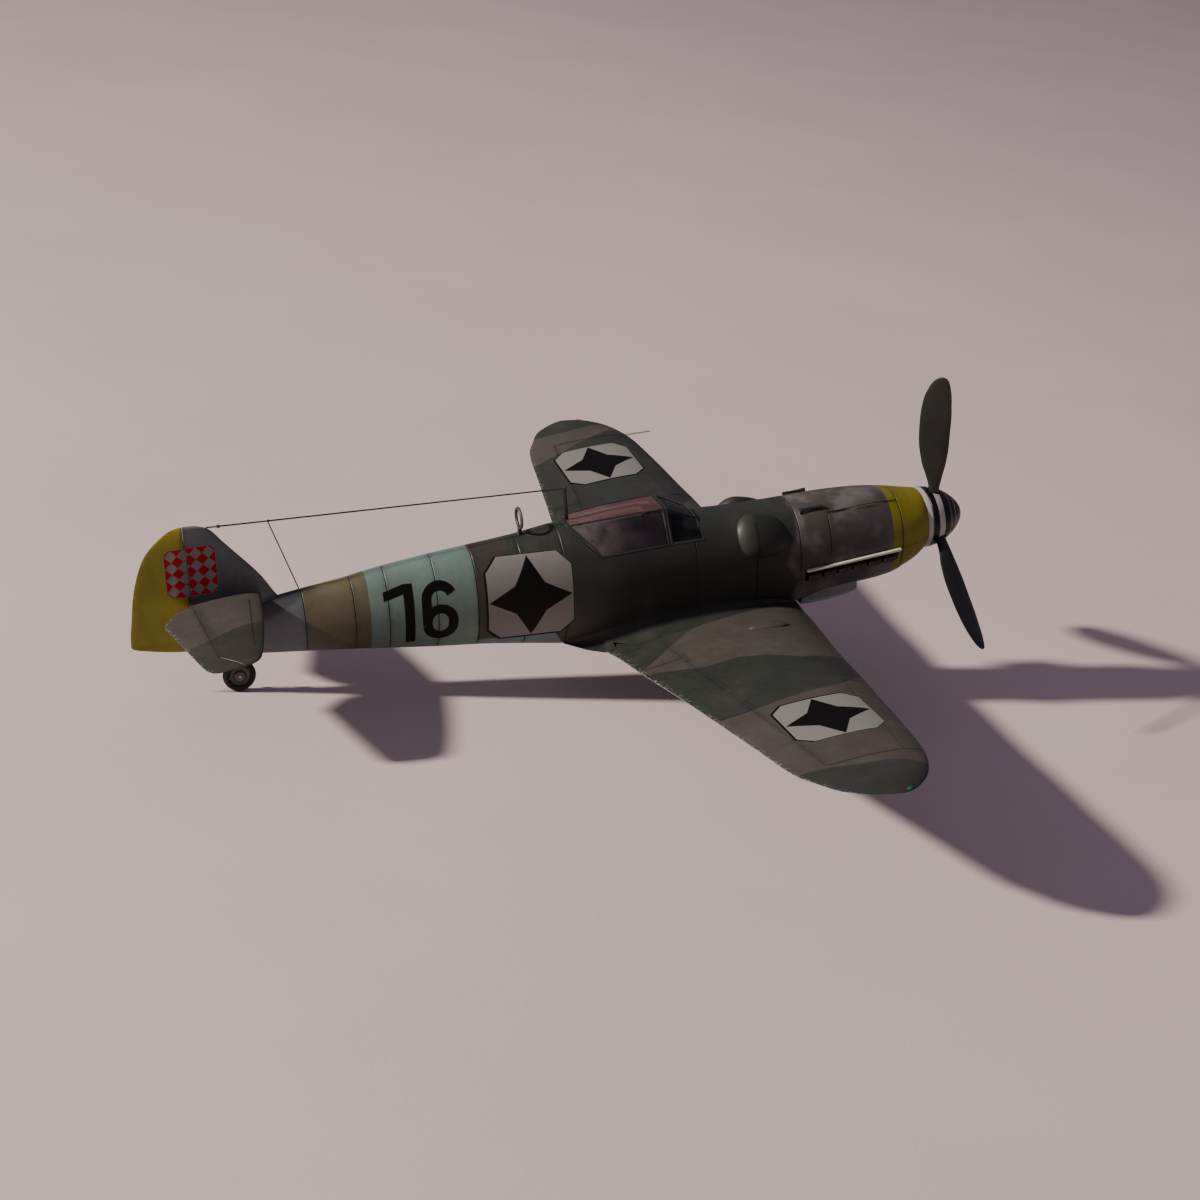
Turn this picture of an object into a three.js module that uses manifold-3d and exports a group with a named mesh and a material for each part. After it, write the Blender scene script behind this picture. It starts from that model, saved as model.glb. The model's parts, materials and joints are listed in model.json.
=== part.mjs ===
// Propeller plane model: a 1:72 assembled kit of a single-seat, single-engine, low-wing aeroplane.
// Units are millimetres at model size. All stations and offsets below are written at the full size of
// the aeroplane (station aft of the nose datum, distance to the right, height above the thrust line)
// and brought to model size by SCALE. The model stands on its three wheels, nose up, on Z = 0,
// nose towards +X, left wing towards +Y.
import * as THREE from 'three';
import { mergeVertices } from 'three/addons/utils/BufferGeometryUtils.js';
import Module from 'manifold-3d';

// ---- driving dimensions -------------------------------------------------------------------------
const SCALE = 1 / 72;
const PITCH = 10 * Math.PI / 180;        // nose-up angle of the thrust line when parked
const GAP = 4;                           // glue gap between neighbouring mouldings (0.055 mm at model size)
const WALL = 72;                         // fuselage skin (1 mm at model size)
const CANOPY_WALL = 34;                  // clear mouldings

const NOSE_TIP = 102, SPINNER_BACK = 604, SPINNER_R = 326, HUB_Z = 36;
const COWL_FRONT = 612, HINGE_X = 8388;
const PROP_X = 430, PROP_R = 1648, BLADES = 3, BLADE_ANGLE = 7.4 * Math.PI / 180;

// fuselage: station -> top height, bottom height, half width
const TOP_LINE = [[612, 366], [700, 382], [745, 390], [1033, 449], [1376, 488], [1717, 499], [2077, 490], [2390, 486], [2790, 489], [3000, 498], [3215, 520], [3700, 566], [4548, 621], [4782, 602], [5070, 567], [5556, 534], [5964, 508], [6454, 460], [6661, 434], [6817, 408], [7300, 361], [7525, 332], [7900, 288], [8388, 238]];
const BOTTOM_LINE = [[612, -298], [700, -372], [820, -437], [993, -510], [1224, -537], [1373, -543], [1700, -556], [2034, -630], [2300, -700], [4200, -724], [4336, -716], [4671, -682], [4991, -628], [5489, -550], [5899, -503], [6386, -436], [6775, -380], [7374, -305], [7731, -260], [7900, -234], [8388, -136]];
const HALF_WIDTH = [[612, 333], [640, 350], [705, 373], [800, 390], [900, 400], [1200, 414], [1600, 422], [2300, 430], [3000, 432], [3600, 430], [4000, 422], [4500, 402], [5000, 372], [5560, 330], [6100, 286], [6670, 236], [7300, 168], [7800, 120], [8388, 60]];
const ROUNDNESS = [[612, 2.0], [1000, 2.15], [1600, 2.3], [2300, 2.4], [3200, 2.6], [4300, 2.4], [4800, 2.15], [6000, 2.05], [8388, 2.0]];
const MID_LINE = [[612, 34], [1200, 10], [2000, -10], [3200, 0], [4400, 0], [6000, 30], [8388, 60]];

// wing: span station -> leading edge, trailing edge
const WING_LE = [[0, 2020], [430, 2040], [1667, 2168], [2533, 2232], [2869, 2267], [3439, 2315], [3926, 2367], [4098, 2388], [4282, 2425], [4455, 2481], [4597, 2544], [4710, 2613], [4795, 2685], [4876, 2768], [4931, 2851], [4962, 2945]];
const WING_TE = [[0, 4335], [430, 4300], [640, 4240], [1300, 4137], [1924, 4028], [2802, 3895], [3508, 3795], [4243, 3682], [4477, 3576], [4708, 3450], [4855, 3285], [4931, 3150], [4962, 3060]];
const WING_Z = -706, DIHEDRAL = 5.318 * Math.PI / 180;
const TAILPLANE_Z = 386;
const TAILPLANE_LE = [[30, 7690], [60, 7694], [1313, 7921], [1440, 7966], [1520, 8040], [1569, 8170], [1606, 8320], [1618, 8380]];
const TAILPLANE_TE = [[30, 8386], [60, 8388], [194, 8572], [431, 8718], [1417, 8524], [1540, 8494], [1600, 8446], [1618, 8400]];
const FIN_LE = [[150, 7400], [300, 7480], [354, 7530], [391, 7555], [468, 7598], [581, 7667], [723, 7775], [831, 7865], [938, 7954], [1031, 8030], [1096, 8079], [1150, 8130], [1189, 8206], [1208, 8290], [1213, 8370]];
const RUDDER_TE = [[-122, 8402], [-106, 8541], [-47, 8832], [-2, 8985], [18, 9010], [143, 9002], [308, 8976], [533, 8940], [694, 8898], [838, 8847], [957, 8786], [1043, 8714], [1107, 8638], [1174, 8547], [1204, 8474], [1213, 8410]];

// canopy (side view lines)
const SILL = [[3124, 340], [3537, 345], [4248, 330], [4700, 318]];
const ROOF = [[3150, 520], [3500, 692], [3700, 690], [4100, 674], [4430, 650], [4700, 634]];
const RAIL_Y = [[3150, 150], [3505, 190], [4100, 176], [4430, 146], [4700, 130]];
const SCREEN_BACK = 3512;

// undercarriage
const AXLE_X = 2150, WHEEL_Y = 1040, TYRE_R = 330, TYRE_W = 160, TYRE_SEGMENTS = 22;
const TAIL_AXLE_X = 7980, TAIL_R = 170, TAIL_W = 104, TAIL_SEGMENTS = 18;
const GROUND_OFFSET = 27.93;             // height of the datum point above the floor, model mm

// ---- helpers ------------------------------------------------------------------------------------
const wasm = await Module();
wasm.setup();

function table(points) {                 // smooth monotone interpolation of a table
  const n = points.length, x = points.map(p => p[0]), y = points.map(p => p[1]);
  const h = [], d = [], m = new Array(n).fill(0);
  for (let i = 0; i < n - 1; i++) { h.push(x[i + 1] - x[i]); d.push((y[i + 1] - y[i]) / h[i]); }
  m[0] = d[0]; m[n - 1] = d[n - 2];
  for (let i = 1; i < n - 1; i++) {
    if (d[i - 1] * d[i] > 0) {
      const w1 = 2 * h[i] + h[i - 1], w2 = h[i] + 2 * h[i - 1];
      m[i] = (w1 + w2) / (w1 / d[i - 1] + w2 / d[i]);
    }
  }
  return v => {
    if (v <= x[0]) return y[0];
    if (v >= x[n - 1]) return y[n - 1];
    let i = 0; while (v > x[i + 1]) i++;
    const t = (v - x[i]) / h[i], t2 = t * t, t3 = t2 * t;
    return y[i] * (2 * t3 - 3 * t2 + 1) + h[i] * m[i] * (t3 - 2 * t2 + t) + y[i + 1] * (3 * t2 - 2 * t3) + h[i] * m[i + 1] * (t3 - t2);
  };
}
const linear = points => v => {
  if (v <= points[0][0]) return points[0][1];
  for (let i = 1; i < points.length; i++) {
    if (v <= points[i][0]) {
      const t = (v - points[i - 1][0]) / (points[i][0] - points[i - 1][0]);
      return points[i - 1][1] * (1 - t) + points[i][1] * t;
    }
  }
  return points[points.length - 1][1];
};
const at = (station, right, height) => [-station * SCALE, -right * SCALE, height * SCALE];

function fromTriangles(positions, index) {   // welds, drops slivers, turns faces outwards
  const g = new THREE.BufferGeometry();
  g.setAttribute('position', new THREE.Float32BufferAttribute(positions, 3));
  if (index) g.setIndex(index);
  return tidy(g);
}
function tidy(geometry) {
  geometry = geometry.clone();
  for (const name of Object.keys(geometry.attributes)) if (name !== 'position') geometry.deleteAttribute(name);
  const g = mergeVertices(geometry, 1e-4);
  const p = g.attributes.position, src = g.index.array, out = [];
  for (let i = 0; i < src.length; i += 3) {
    const [a, b, c] = [src[i], src[i + 1], src[i + 2]];
    if (a !== b && b !== c && a !== c) out.push(a, b, c);
  }
  let volume = 0;
  const A = new THREE.Vector3(), B = new THREE.Vector3(), C = new THREE.Vector3();
  for (let i = 0; i < out.length; i += 3) {
    A.fromBufferAttribute(p, out[i]); B.fromBufferAttribute(p, out[i + 1]); C.fromBufferAttribute(p, out[i + 2]);
    volume += A.dot(B.cross(C)) / 6;
  }
  if (volume < 0) for (let i = 0; i < out.length; i += 3) [out[i + 1], out[i + 2]] = [out[i + 2], out[i + 1]];
  g.setIndex(out);
  return g;
}
function solid(geometry) {               // geometry -> boolean operand
  const g = tidy(geometry);
  return new wasm.Manifold(new wasm.Mesh({
    numProp: 3,
    vertProperties: new Float32Array(g.attributes.position.array),
    triVerts: new Uint32Array(g.index.array),
  }));
}
function geometryOf(manifold) {
  const mesh = manifold.simplify(0.0015).getMesh();
  const g = new THREE.BufferGeometry();
  g.setAttribute('position', new THREE.Float32BufferAttribute(mesh.vertProperties, 3));
  g.setIndex(Array.from(mesh.triVerts));
  return g;
}
const join = (...items) => items.reduce((a, b) => a.add(b));
const cut = (base, ...items) => items.reduce((a, b) => a.subtract(b), base);

function loft(rings) {                   // closed rings of equal count, capped by a fan at both ends
  const n = rings[0].length, pos = [], idx = [];
  for (const ring of rings) for (const p of ring) pos.push(...p);
  for (let i = 0; i < rings.length - 1; i++) {
    for (let j = 0; j < n; j++) {
      const a = i * n + j, b = i * n + (j + 1) % n, c = a + n, d = b + n;
      idx.push(a, b, c, b, d, c);
    }
  }
  for (const [k, flip] of [[0, true], [rings.length - 1, false]]) {
    const centre = [0, 1, 2].map(q => rings[k].reduce((s, p) => s + p[q], 0) / n);
    const ci = pos.length / 3; pos.push(...centre);
    for (let j = 0; j < n; j++) {
      const a = k * n + j, b = k * n + (j + 1) % n;
      idx.push(...(flip ? [ci, b, a] : [ci, a, b]));
    }
  }
  return fromTriangles(pos, idx);
}
// box between two stations, widths and heights (full-size numbers)
function block(x0, x1, y0, y1, z0, z1) {
  const g = new THREE.BoxGeometry(Math.abs(x1 - x0) * SCALE, Math.abs(y1 - y0) * SCALE, Math.abs(z1 - z0) * SCALE);
  g.translate(...at((x0 + x1) / 2, (y0 + y1) / 2, (z0 + z1) / 2));
  return g;
}
// cylinder between two points given at full size
function rod(from, to, r0, r1 = r0, segments = 12) {
  const a = new THREE.Vector3(...at(...from)), b = new THREE.Vector3(...at(...to));
  const g = new THREE.CylinderGeometry(r1 * SCALE, r0 * SCALE, a.distanceTo(b), segments, 1);
  g.applyQuaternion(new THREE.Quaternion().setFromUnitVectors(new THREE.Vector3(0, 1, 0), b.clone().sub(a).normalize()));
  g.translate(...a.add(b).multiplyScalar(0.5).toArray());
  return g;
}
// solid of revolution about the thrust axis; profile of [station, radius]
function turned(profile, segments = 36) {
  const pts = profile.map(([x, r]) => new THREE.Vector2(Math.max(r, 0) * SCALE, x * SCALE));
  const g = new THREE.LatheGeometry(pts, segments);
  g.rotateZ(Math.PI / 2);                // lathe axis (0,1,0) -> (-1,0,0): station grows aft
  g.translate(0, 0, HUB_Z * SCALE);
  return g;
}
// prism of a side-view outline [station, height] between two widths
function prismXZ(outline, y0, y1) {
  const shape = new THREE.Shape(outline.map(([x, z]) => new THREE.Vector2(-x * SCALE, z * SCALE)));
  const g = new THREE.ExtrudeGeometry(shape, { depth: Math.abs(y1 - y0) * SCALE, bevelEnabled: false });
  g.rotateX(Math.PI / 2);                // extrusion +z -> -y
  g.translate(0, -Math.min(y0, y1) * SCALE, 0);
  return g;
}
// prism of a front-view outline [right, height] between two stations
function prismYZ(outline, x0, x1) {
  return loft([x0, x1].map(x => outline.map(([y, z]) => at(x, y, z))));
}
const mirrorPoints = (pts, side) => pts.map(([x, y, z]) => [x, y * side, z]);

const root = new THREE.Group();
const plane = new THREE.Group();         // plane frame: thrust line along X
root.add(plane);
function piece(name, geometry, colour, roughness, metalness = 0, extra = {}) {
  const g = tidy(geometry);
  g.computeVertexNormals();
  const mesh = new THREE.Mesh(g, new THREE.MeshStandardMaterial({ color: colour, roughness, metalness, ...extra }));
  mesh.name = name;
  plane.add(mesh);
  return mesh;
}

// ---- fuselage -----------------------------------------------------------------------------------
const fusTop = table(TOP_LINE), fusBottom = table(BOTTOM_LINE), fusWidth = table(HALF_WIDTH);
const fusRound = linear(ROUNDNESS), fusMid = linear(MID_LINE);
function fuselageRing(x, offset, count) {
  const zt = fusTop(x) + offset, zb = fusBottom(x) - offset, w = fusWidth(x) + offset, zm = fusMid(x), e = 2 / fusRound(x);
  const ring = [];
  for (let i = 0; i < count; i++) {
    const t = (i + 0.5) / count * 2 * Math.PI, c = Math.cos(t), s = Math.sin(t);
    const y = w * Math.sign(c) * Math.abs(c) ** e;
    const z = zm + (s > 0 ? zt - zm : zm - zb) * Math.sign(s) * Math.abs(s) ** e;
    ring.push(at(x, y, z));
  }
  return ring;
}
function fuselageSide(x, z) {            // half width of the skin at a height
  const zt = fusTop(x), zb = fusBottom(x), zm = fusMid(x), n = fusRound(x);
  const h = z > zm ? (z - zm) / (zt - zm) : (zm - z) / (zm - zb);
  return fusWidth(x) * (1 - Math.min(1, Math.abs(h)) ** n) ** (1 / n);
}
const STATIONS = [COWL_FRONT, 650, 745, 860, 1033, 1240, 1480, 1760, 2034, 2200, 2390, 2790, 3215, 3700, 4250, 4548, 4782, 5070, 5556, 6100, 6700, 7300, 7800, 8388 - GAP];
const fuselageBody = (offset, stations, count = 26) => loft(stations.map(x => fuselageRing(x, offset, count)));
const outerGeometry = fuselageBody(0, STATIONS);
const keepOff = solid(fuselageBody(GAP, STATIONS));
const cavity = solid(fuselageBody(-WALL, [745, 860, 1033, 1300, 1760, 2034, 2300, 2790, 3215, 3700, 4250, 4548, 4782, 5200, 5800, 6400, 7000], 24));

// fin moulded with the fuselage
const finLe = table(FIN_LE);
const finHalf = z => 50 - 24 * Math.max(0, Math.min(1, z / 1200));
const finProfile = [[0, 0.12], [0.04, 0.5], [0.14, 0.78], [0.4, 1], [1, 0.92]];
function finRing(z, x0, x1, h, profile) {
  const right = profile.map(([u, f]) => [x0 + (x1 - x0) * u, h * f]);
  return [...right.map(([x, y]) => at(x, y, z)), ...right.slice().reverse().map(([x, y]) => at(x, -y, z))];
}
const finBody = offset => loft([150, 300, 354, 391, 468, 581, 723, 938, 1096, 1150, 1189, 1206 + offset].map(z =>
  finRing(z, finLe(z) - offset, HINGE_X - GAP + offset * 2, finHalf(z) + offset, finProfile)));
const fin = solid(finBody(0)), finKeepOff = solid(finBody(GAP));

// teardrop blisters over the gun breeches
function blister(side, offset) {
  const g = new THREE.SphereGeometry(1, 20, 12), p = g.attributes.position;
  for (let i = 0; i < p.count; i++) p.setX(i, p.getX(i) * ((p.getX(i) > 0 ? 420 : 218) + offset) * SCALE);
  g.scale(1, (134 + offset) * SCALE, (238 + offset) * SCALE);
  g.rotateX(-side * 0.5);
  // the front of the teardrop droops
  for (let i = 0; i < p.count; i++) if (p.getX(i) > 0) p.setZ(i, p.getZ(i) - 0.12 * p.getX(i));
  g.translate(...at(2578, side * 318, 280));
  return solid(g);
}
// wing -----------------------------------------------------------------------------------------
const wingLe = table(WING_LE), wingTe = linear(WING_TE);
const wingRef = y => WING_Z + Math.tan(DIHEDRAL) * Math.max(Math.abs(y), 430);
const CHORD_POINTS = [0, 0.008, 0.03, 0.08, 0.16, 0.3, 0.46, 0.64, 0.82, 1];
function wingThickness(y) {
  const a = Math.abs(y), base = 0.142 - 0.032 * Math.min(1, a / 4600);
  return base * (a > 4450 ? Math.sqrt(Math.max(0.03, 1 - ((a - 4450) / 516) ** 2)) : 1);
}
function aerofoil(t, u) {                // half thickness and camber as fractions of the chord
  const half = 5 * t * (0.2969 * Math.sqrt(u) - 0.126 * u - 0.3516 * u * u + 0.2843 * u ** 3 - 0.1015 * u ** 4);
  const camber = 0.016 * (u < 0.3 ? (2 * 0.3 * u - u * u) / 0.09 : (1 - 0.6 + 0.6 * u - u * u) / 0.49);
  return [half + 0.0022 * u, camber];
}
function wingHeight(x, y, upper) {
  const le = wingLe(Math.abs(y)), te = wingTe(Math.abs(y)), c = te - le, u = Math.max(0, Math.min(1, (x - le) / c));
  const [h, m] = aerofoil(wingThickness(y), u);
  return wingRef(y) - 15 * (1 - u) + c * (m + (upper ? h : -h));
}
// split line between the upper and lower mouldings
function wingSplit(x, y) {
  const le = wingLe(Math.abs(y)), te = wingTe(Math.abs(y)), c = te - le, u = Math.max(0, Math.min(1, (x - le) / c));
  return wingRef(y) - 15 * (1 - u) + c * aerofoil(0.1, u)[1];
}
function wingRing(y, upper, offset) {
  const a = Math.abs(y), le = wingLe(a), te = wingTe(a), c = te - le, s = upper ? 1 : -1;
  const skin = CHORD_POINTS.map(u => {
    const x = le + c * u + (u < 0.02 ? -offset : u === 1 ? offset : 0);
    const z = wingHeight(le + c * u, y, upper) + s * offset + (u === 0 ? s * 3 : u === 1 ? s * 1 : 0);
    return at(x, y, z);
  });
  const flat = CHORD_POINTS.slice().reverse().map(u => {
    const x = le + c * u + (u < 0.02 ? -offset : u === 1 ? offset : 0);
    return at(x, y, wingSplit(le + c * u, y) + s * (2 - offset));
  });
  return [...skin, ...flat];
}
const SPAN = [430, 1500, 2900, 4098, 4393, 4600, 4780, 4880, 4935, 4958];
const lowerGeometry = offset => loft([...SPAN.slice().reverse().map(y => -y), ...SPAN].map(y => wingRing(y, false, offset)));
const upperGeometry = (side, offset) => loft([140, ...SPAN].map(y => wingRing(side * y, true, offset)));

// wheel wells in the underside
const well = side => join(
  solid(rod([2560, side * 1420, -1200], [2560, side * 1420, -300], 352, 352, 24)),
  solid(block(2218, 2390, side * 490, side * 1420, -1200, -300)));
let wingLower = cut(solid(lowerGeometry(0)), well(1), well(-1));
const wingLowerKeepOff = solid(lowerGeometry(GAP));

// shallow hollows inside the upper mouldings
function pocket(side) {
  const ring = y => {
    const le = wingLe(y), c = wingTe(y) - le;
    const us = [0.12, 0.22, 0.36, 0.5, 0.62];
    const z = u => [wingSplit(le + c * u, y), wingHeight(le + c * u, y, true)];
    return [...us.map(u => at(le + c * u, side * y, z(u)[0] * 0.5 + z(u)[1] * 0.5)), ...us.slice().reverse().map(u => at(le + c * u, side * y, z(u)[0] - 20))];
  };
  return solid(loft([760, 2200, 3700].map(ring)));
}
// bumps over the wheels on the upper skin near the root
function wheelBump(side) {
  const g = new THREE.SphereGeometry(1, 16, 8);
  g.scale(205 * SCALE, 64 * SCALE, 38 * SCALE);
  g.rotateZ(side * 0.1);
  g.translate(...at(2676, side * 955, wingHeight(2676, 955, true) - 4));
  return solid(g);
}
const wingUpper = side => cut(join(solid(upperGeometry(side, 0)), wheelBump(side)), keepOff, pocket(side));

// cockpit opening in the fuselage
const cockpitCut = solid(prismXZ([[3124, 340], [3537, 345], [4248, 330], [4548, 632], [4548, 950], [3150, 950], [3150, 520]], -600, 600));
// recess for the exhaust stacks, and the gun troughs in the top cowl
const exhaustLine = x => -122 - (x - 1003) * 0.064;
const exhaustRecess = side => solid(prismXZ([[985, exhaustLine(985) + 2], [2046, exhaustLine(2046) + 2], [2046, exhaustLine(2046) - 104], [985, exhaustLine(985) - 104]], side * 346, side * 600));
const trough = side => solid(rod([1776, side * 244, 452], [2046, side * 244, 444], 42, 42, 10));
const shaftHole = solid(rod([590, 0, HUB_Z], [800, 0, HUB_Z], 134, 134, 24));

const wholeFuselage = (() => {
  let f = join(solid(outerGeometry), fin, blister(1, 0), blister(-1, 0));
  f = cut(f, cavity, cockpitCut, exhaustRecess(1), exhaustRecess(-1), trough(1), trough(-1), shaftHole, wingLowerKeepOff);
  return f;
})();
function half(side) {
  const keep = solid(block(400, 9200, side * 2, side * 900, -1200, 1500));
  const parts = wholeFuselage.intersect(keep).decompose();
  return parts.sort((a, b) => b.volume() - a.volume())[0];
}
const PAINT = 0x5f675f;
piece('fuselage_right', geometryOf(half(1)), PAINT, 0.6);
piece('fuselage_left', geometryOf(half(-1)), PAINT, 0.6);
piece('wing_lower', geometryOf(wingLower.subtract(keepOff.intersect(solid(block(400, 9200, -900, 900, -560, 900))))), 0x8fa3ab, 0.6);
for (const [side, name] of [[1, 'right'], [-1, 'left']]) {
  const parts = wingUpper(side).decompose().sort((a, b) => b.volume() - a.volume());
  piece('wing_upper_' + name, geometryOf(parts[0]), PAINT, 0.6);
}

// ---- tail ---------------------------------------------------------------------------------------
const rudderTe = table(RUDDER_TE);
piece('rudder', loft([-120, -106, -47, -2, 18, 143, 308, 533, 694, 838, 957, 1043, 1107, 1160, 1192, 1206].map(z => {
  const x0 = HINGE_X + GAP, x1 = rudderTe(z), h = (finHalf(Math.max(0, z)) + 2) * Math.min(1, 0.55 + (x1 - x0) / 500);
  return finRing(z, x0, x1, h, [[0, 0.72], [0.08, 0.92], [0.4, 0.66], [0.8, 0.3], [1, 0.14]]);
})), PAINT, 0.6);
const tailLe = table(TAILPLANE_LE), tailTe = linear(TAILPLANE_TE);
for (const [side, name] of [[1, 'right'], [-1, 'left']]) {
  const rings = [30, 60, 194, 431, 900, 1313, 1417, 1480, 1530, 1572, 1602, 1617].map(y => {
    const x0 = tailLe(y), x1 = tailTe(y), c = x1 - x0;
    const t = 0.088 * (y > 1300 ? Math.sqrt(Math.max(0.05, 1 - ((y - 1300) / 326) ** 2)) : 1) * (y < 431 ? 1000 / c : 1);
    const us = [0, 0.01, 0.05, 0.16, 0.35, 0.6, 0.85, 1];
    const hs = us.map(u => c * aerofoil(t, u)[0] + (u === 0 ? 5 : 3));
    return [...us.map((u, i) => at(x0 + c * u, side * y, TAILPLANE_Z + hs[i])), ...us.map((u, i) => at(x0 + c * u, side * y, TAILPLANE_Z - hs[i])).reverse()];
  });
  const t = cut(solid(loft(rings)), keepOff, finKeepOff, solid(block(HINGE_X - GAP, 9100, -70, 70, -300, 1400)));
  piece('tailplane_' + name, geometryOf(t.decompose().sort((a, b) => b.volume() - a.volume())[0]), PAINT, 0.6);
}

// ---- propeller and spinner ------------------------------------------------------------------------
const spinnerRadius = (x, off = 0) => {
  const t = Math.max(0, Math.min(1, (x - NOSE_TIP - off) / (560 - NOSE_TIP - off)));
  return (SPINNER_R - off) * Math.pow(Math.sin(t * Math.PI / 2), 0.55);
};
const spinnerStations = [0, 0.012, 0.04, 0.1, 0.2, 0.36, 0.6, 1].map(t => NOSE_TIP + (560 - NOSE_TIP) * t);
const outerSpin = spinnerStations.map((x, i) => [x, i === 0 ? 0 : spinnerRadius(x)]);
const innerSpin = spinnerStations.slice(3).map(x => [x, Math.max(0, spinnerRadius(x) - 46)]);
let spinner = solid(turned([...outerSpin, [SPINNER_BACK, SPINNER_R], [SPINNER_BACK, SPINNER_R - 46], ...innerSpin.reverse(), [spinnerStations[2] + 30, 0]], 28));
const bladeAxis = k => { const a = BLADE_ANGLE + k * 2 * Math.PI / BLADES; return [Math.sin(a), Math.cos(a)]; };
for (let k = 0; k < BLADES; k++) {
  const [sy, cz] = bladeAxis(k);
  spinner = cut(spinner, solid(rod([PROP_X, sy * 100, HUB_Z + cz * 100], [PROP_X, sy * 600, HUB_Z + cz * 600], 74, 74, 16)));
}
piece('spinner', geometryOf(spinner), 0x1b1c1e, 0.42);
piece('spinner_backplate', geometryOf(cut(solid(turned([[566, 0], [566, SPINNER_R - 46 - GAP], [602, SPINNER_R - 46 - GAP], [602, 0]], 36)), solid(rod([500, 0, HUB_Z], [700, 0, HUB_Z], 64, 64, 16)))), 0x2a2b2c, 0.6);

const bladeChord = table([[150, 112], [330, 116], [470, 170], [650, 262], [900, 322], [1150, 330], [1380, 296], [1540, 216], [1620, 130], [1648, 50]]);
const bladeThick = table([[150, 112], [330, 106], [470, 88], [650, 64], [900, 48], [1150, 40], [1380, 34], [1540, 28], [1620, 24], [1656, 20]]);
const bladePitch = table([[150, 66], [470, 64], [650, 62], [900, 60], [1150, 58], [1400, 56], [1656, 55]]);
const bladeSweep = table([[150, 0], [330, 0], [650, -25], [1000, -42], [1300, -40], [1540, -20], [1656, 0]]);
function blade(k) {
  const [sy, cz] = bladeAxis(k), rings = [];
  for (const r of [150, 326, 470, 600, 760, 950, 1150, 1320, 1460, 1560, 1614, PROP_R]) {
    const c = bladeChord(r), t = bladeThick(r), b = bladePitch(r) * Math.PI / 180, ring = [];
    for (let i = 0; i < 10; i++) {
      const a = (i + 0.5) / 10 * 2 * Math.PI;
      const along = Math.cos(a) * c / 2 + bladeSweep(r), across = Math.sin(a) * t / 2 * (1 + 0.25 * Math.cos(a) * (r > 450 ? 1 : 0));
      const fx = -along * Math.sin(b) - across * Math.cos(b), ty = along * Math.cos(b) - across * Math.sin(b);
      // tangential direction at the top of the disc points right
      ring.push(at(PROP_X + fx, sy * r + cz * ty, HUB_Z + cz * r - sy * ty));
    }
    rings.push(ring);
  }
  return solid(loft(rings));
}
let propeller = solid(turned([[330, 0], [330, 168], [556, 168], [556, 0]], 24));
for (let k = 0; k < BLADES; k++) propeller = propeller.add(blade(k));
propeller = cut(propeller, solid(rod([470, 0, HUB_Z], [700, 0, HUB_Z], 64, 64, 16)));
piece('propeller', geometryOf(propeller), 0x202321, 0.5);
piece('prop_shaft', rod([474, 0, HUB_Z], [868, 0, HUB_Z], 60, 60, 16), 0x8a8c8e, 0.4, 0.8);
piece('prop_retainer', geometryOf(cut(solid(turned([[818, 0], [818, 150], [858, 150], [858, 0]], 24)), solid(rod([700, 0, HUB_Z], [900, 0, HUB_Z], 64, 64, 16)))), 0x3a3c3e, 0.6);
piece('nose_bearing', geometryOf(cut(solid(turned([[616, 0], [616, 130], [812, 130], [812, 0]], 24)), solid(rod([600, 0, HUB_Z], [900, 0, HUB_Z], 66, 66, 16)))), 0x6f7274, 0.6);

// ---- engine details -------------------------------------------------------------------------------
for (const [side, name] of [[1, 'right'], [-1, 'left']]) {
  let bank = solid(prismXZ([[1000, exhaustLine(1000) - 22], [2032, exhaustLine(2032) - 22], [2032, exhaustLine(2032) - 92], [1000, exhaustLine(1000) - 92]], side * (346 + GAP), side * 384));
  for (let i = 0; i < 6; i++) {
    const x = 1052 + i * 168, z = exhaustLine(x) - 57;
    const ring = (xc, y, w, h, zc) => [[-1, -1], [1, -1], [1, 1], [-1, 1]].map(([p, q]) => at(xc + p * w, side * y, zc + q * h));
    bank = bank.add(solid(loft([ring(x, 370, 52, 30, z), ring(x + 12, 405, 50, 30, z), ring(x + 52, 440, 48, 28, z - 3), ring(x + 88, 456, 44, 26, z - 6)])));
  }
  piece('exhaust_' + name, geometryOf(bank), 0x2b2420, 0.8, 0.2);
  const strip = cut(solid(prismXZ([[975, exhaustLine(975) + 40], [2040, exhaustLine(2040) + 38], [2040, exhaustLine(2040) + 12], [975, exhaustLine(975) + 16]], side * 380, side * 458)), keepOff);
  piece('exhaust_shield_' + name, geometryOf(strip.decompose().sort((a, b) => b.volume() - a.volume())[0]), 0xd9d3bf, 0.6);
  piece('gun_barrel_' + name, rod([1786, side * 244, 452], [2040, side * 244, 444], 26, 26, 10), 0x1c1d1f, 0.45, 0.6);
}
// oil cooler scoop under the chin, with its matrix in the mouth
{
  const ring = (x, w, zt, zb) => {
    const pts = [[-1, 1], [-0.98, 0.1], [-0.9, -0.75], [-0.7, -1], [0.7, -1], [0.9, -0.75], [0.98, 0.1], [1, 1]];
    return pts.map(([a, b]) => at(x, a * w, b > 0 ? zt : zt + (zt - zb) * (b - 0.1) / 1.1));
  };
  let body = solid(loft([ring(1385, 238, -400, -604), ring(1480, 252, -400, -630), ring(1700, 262, -400, -654), ring(1920, 258, -400, -664), ring(2010, 240, -400, -660)]));
  const mouth = solid(loft([ring(1330, 214, -540, -584), ring(1560, 214, -540, -610)]));
  body = cut(body, mouth, keepOff, wingLowerKeepOff);
  piece('oil_cooler', geometryOf(body.decompose().sort((a, b) => b.volume() - a.volume())[0]), 0x8b9a9c, 0.6);
  const core = solid(loft([ring(1500, 208, -540, -590), ring(1550, 208, -540, -598)]));
  piece('oil_cooler_core', geometryOf(cut(core, keepOff)), 0x55504a, 0.5, 0.6);
}
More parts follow.
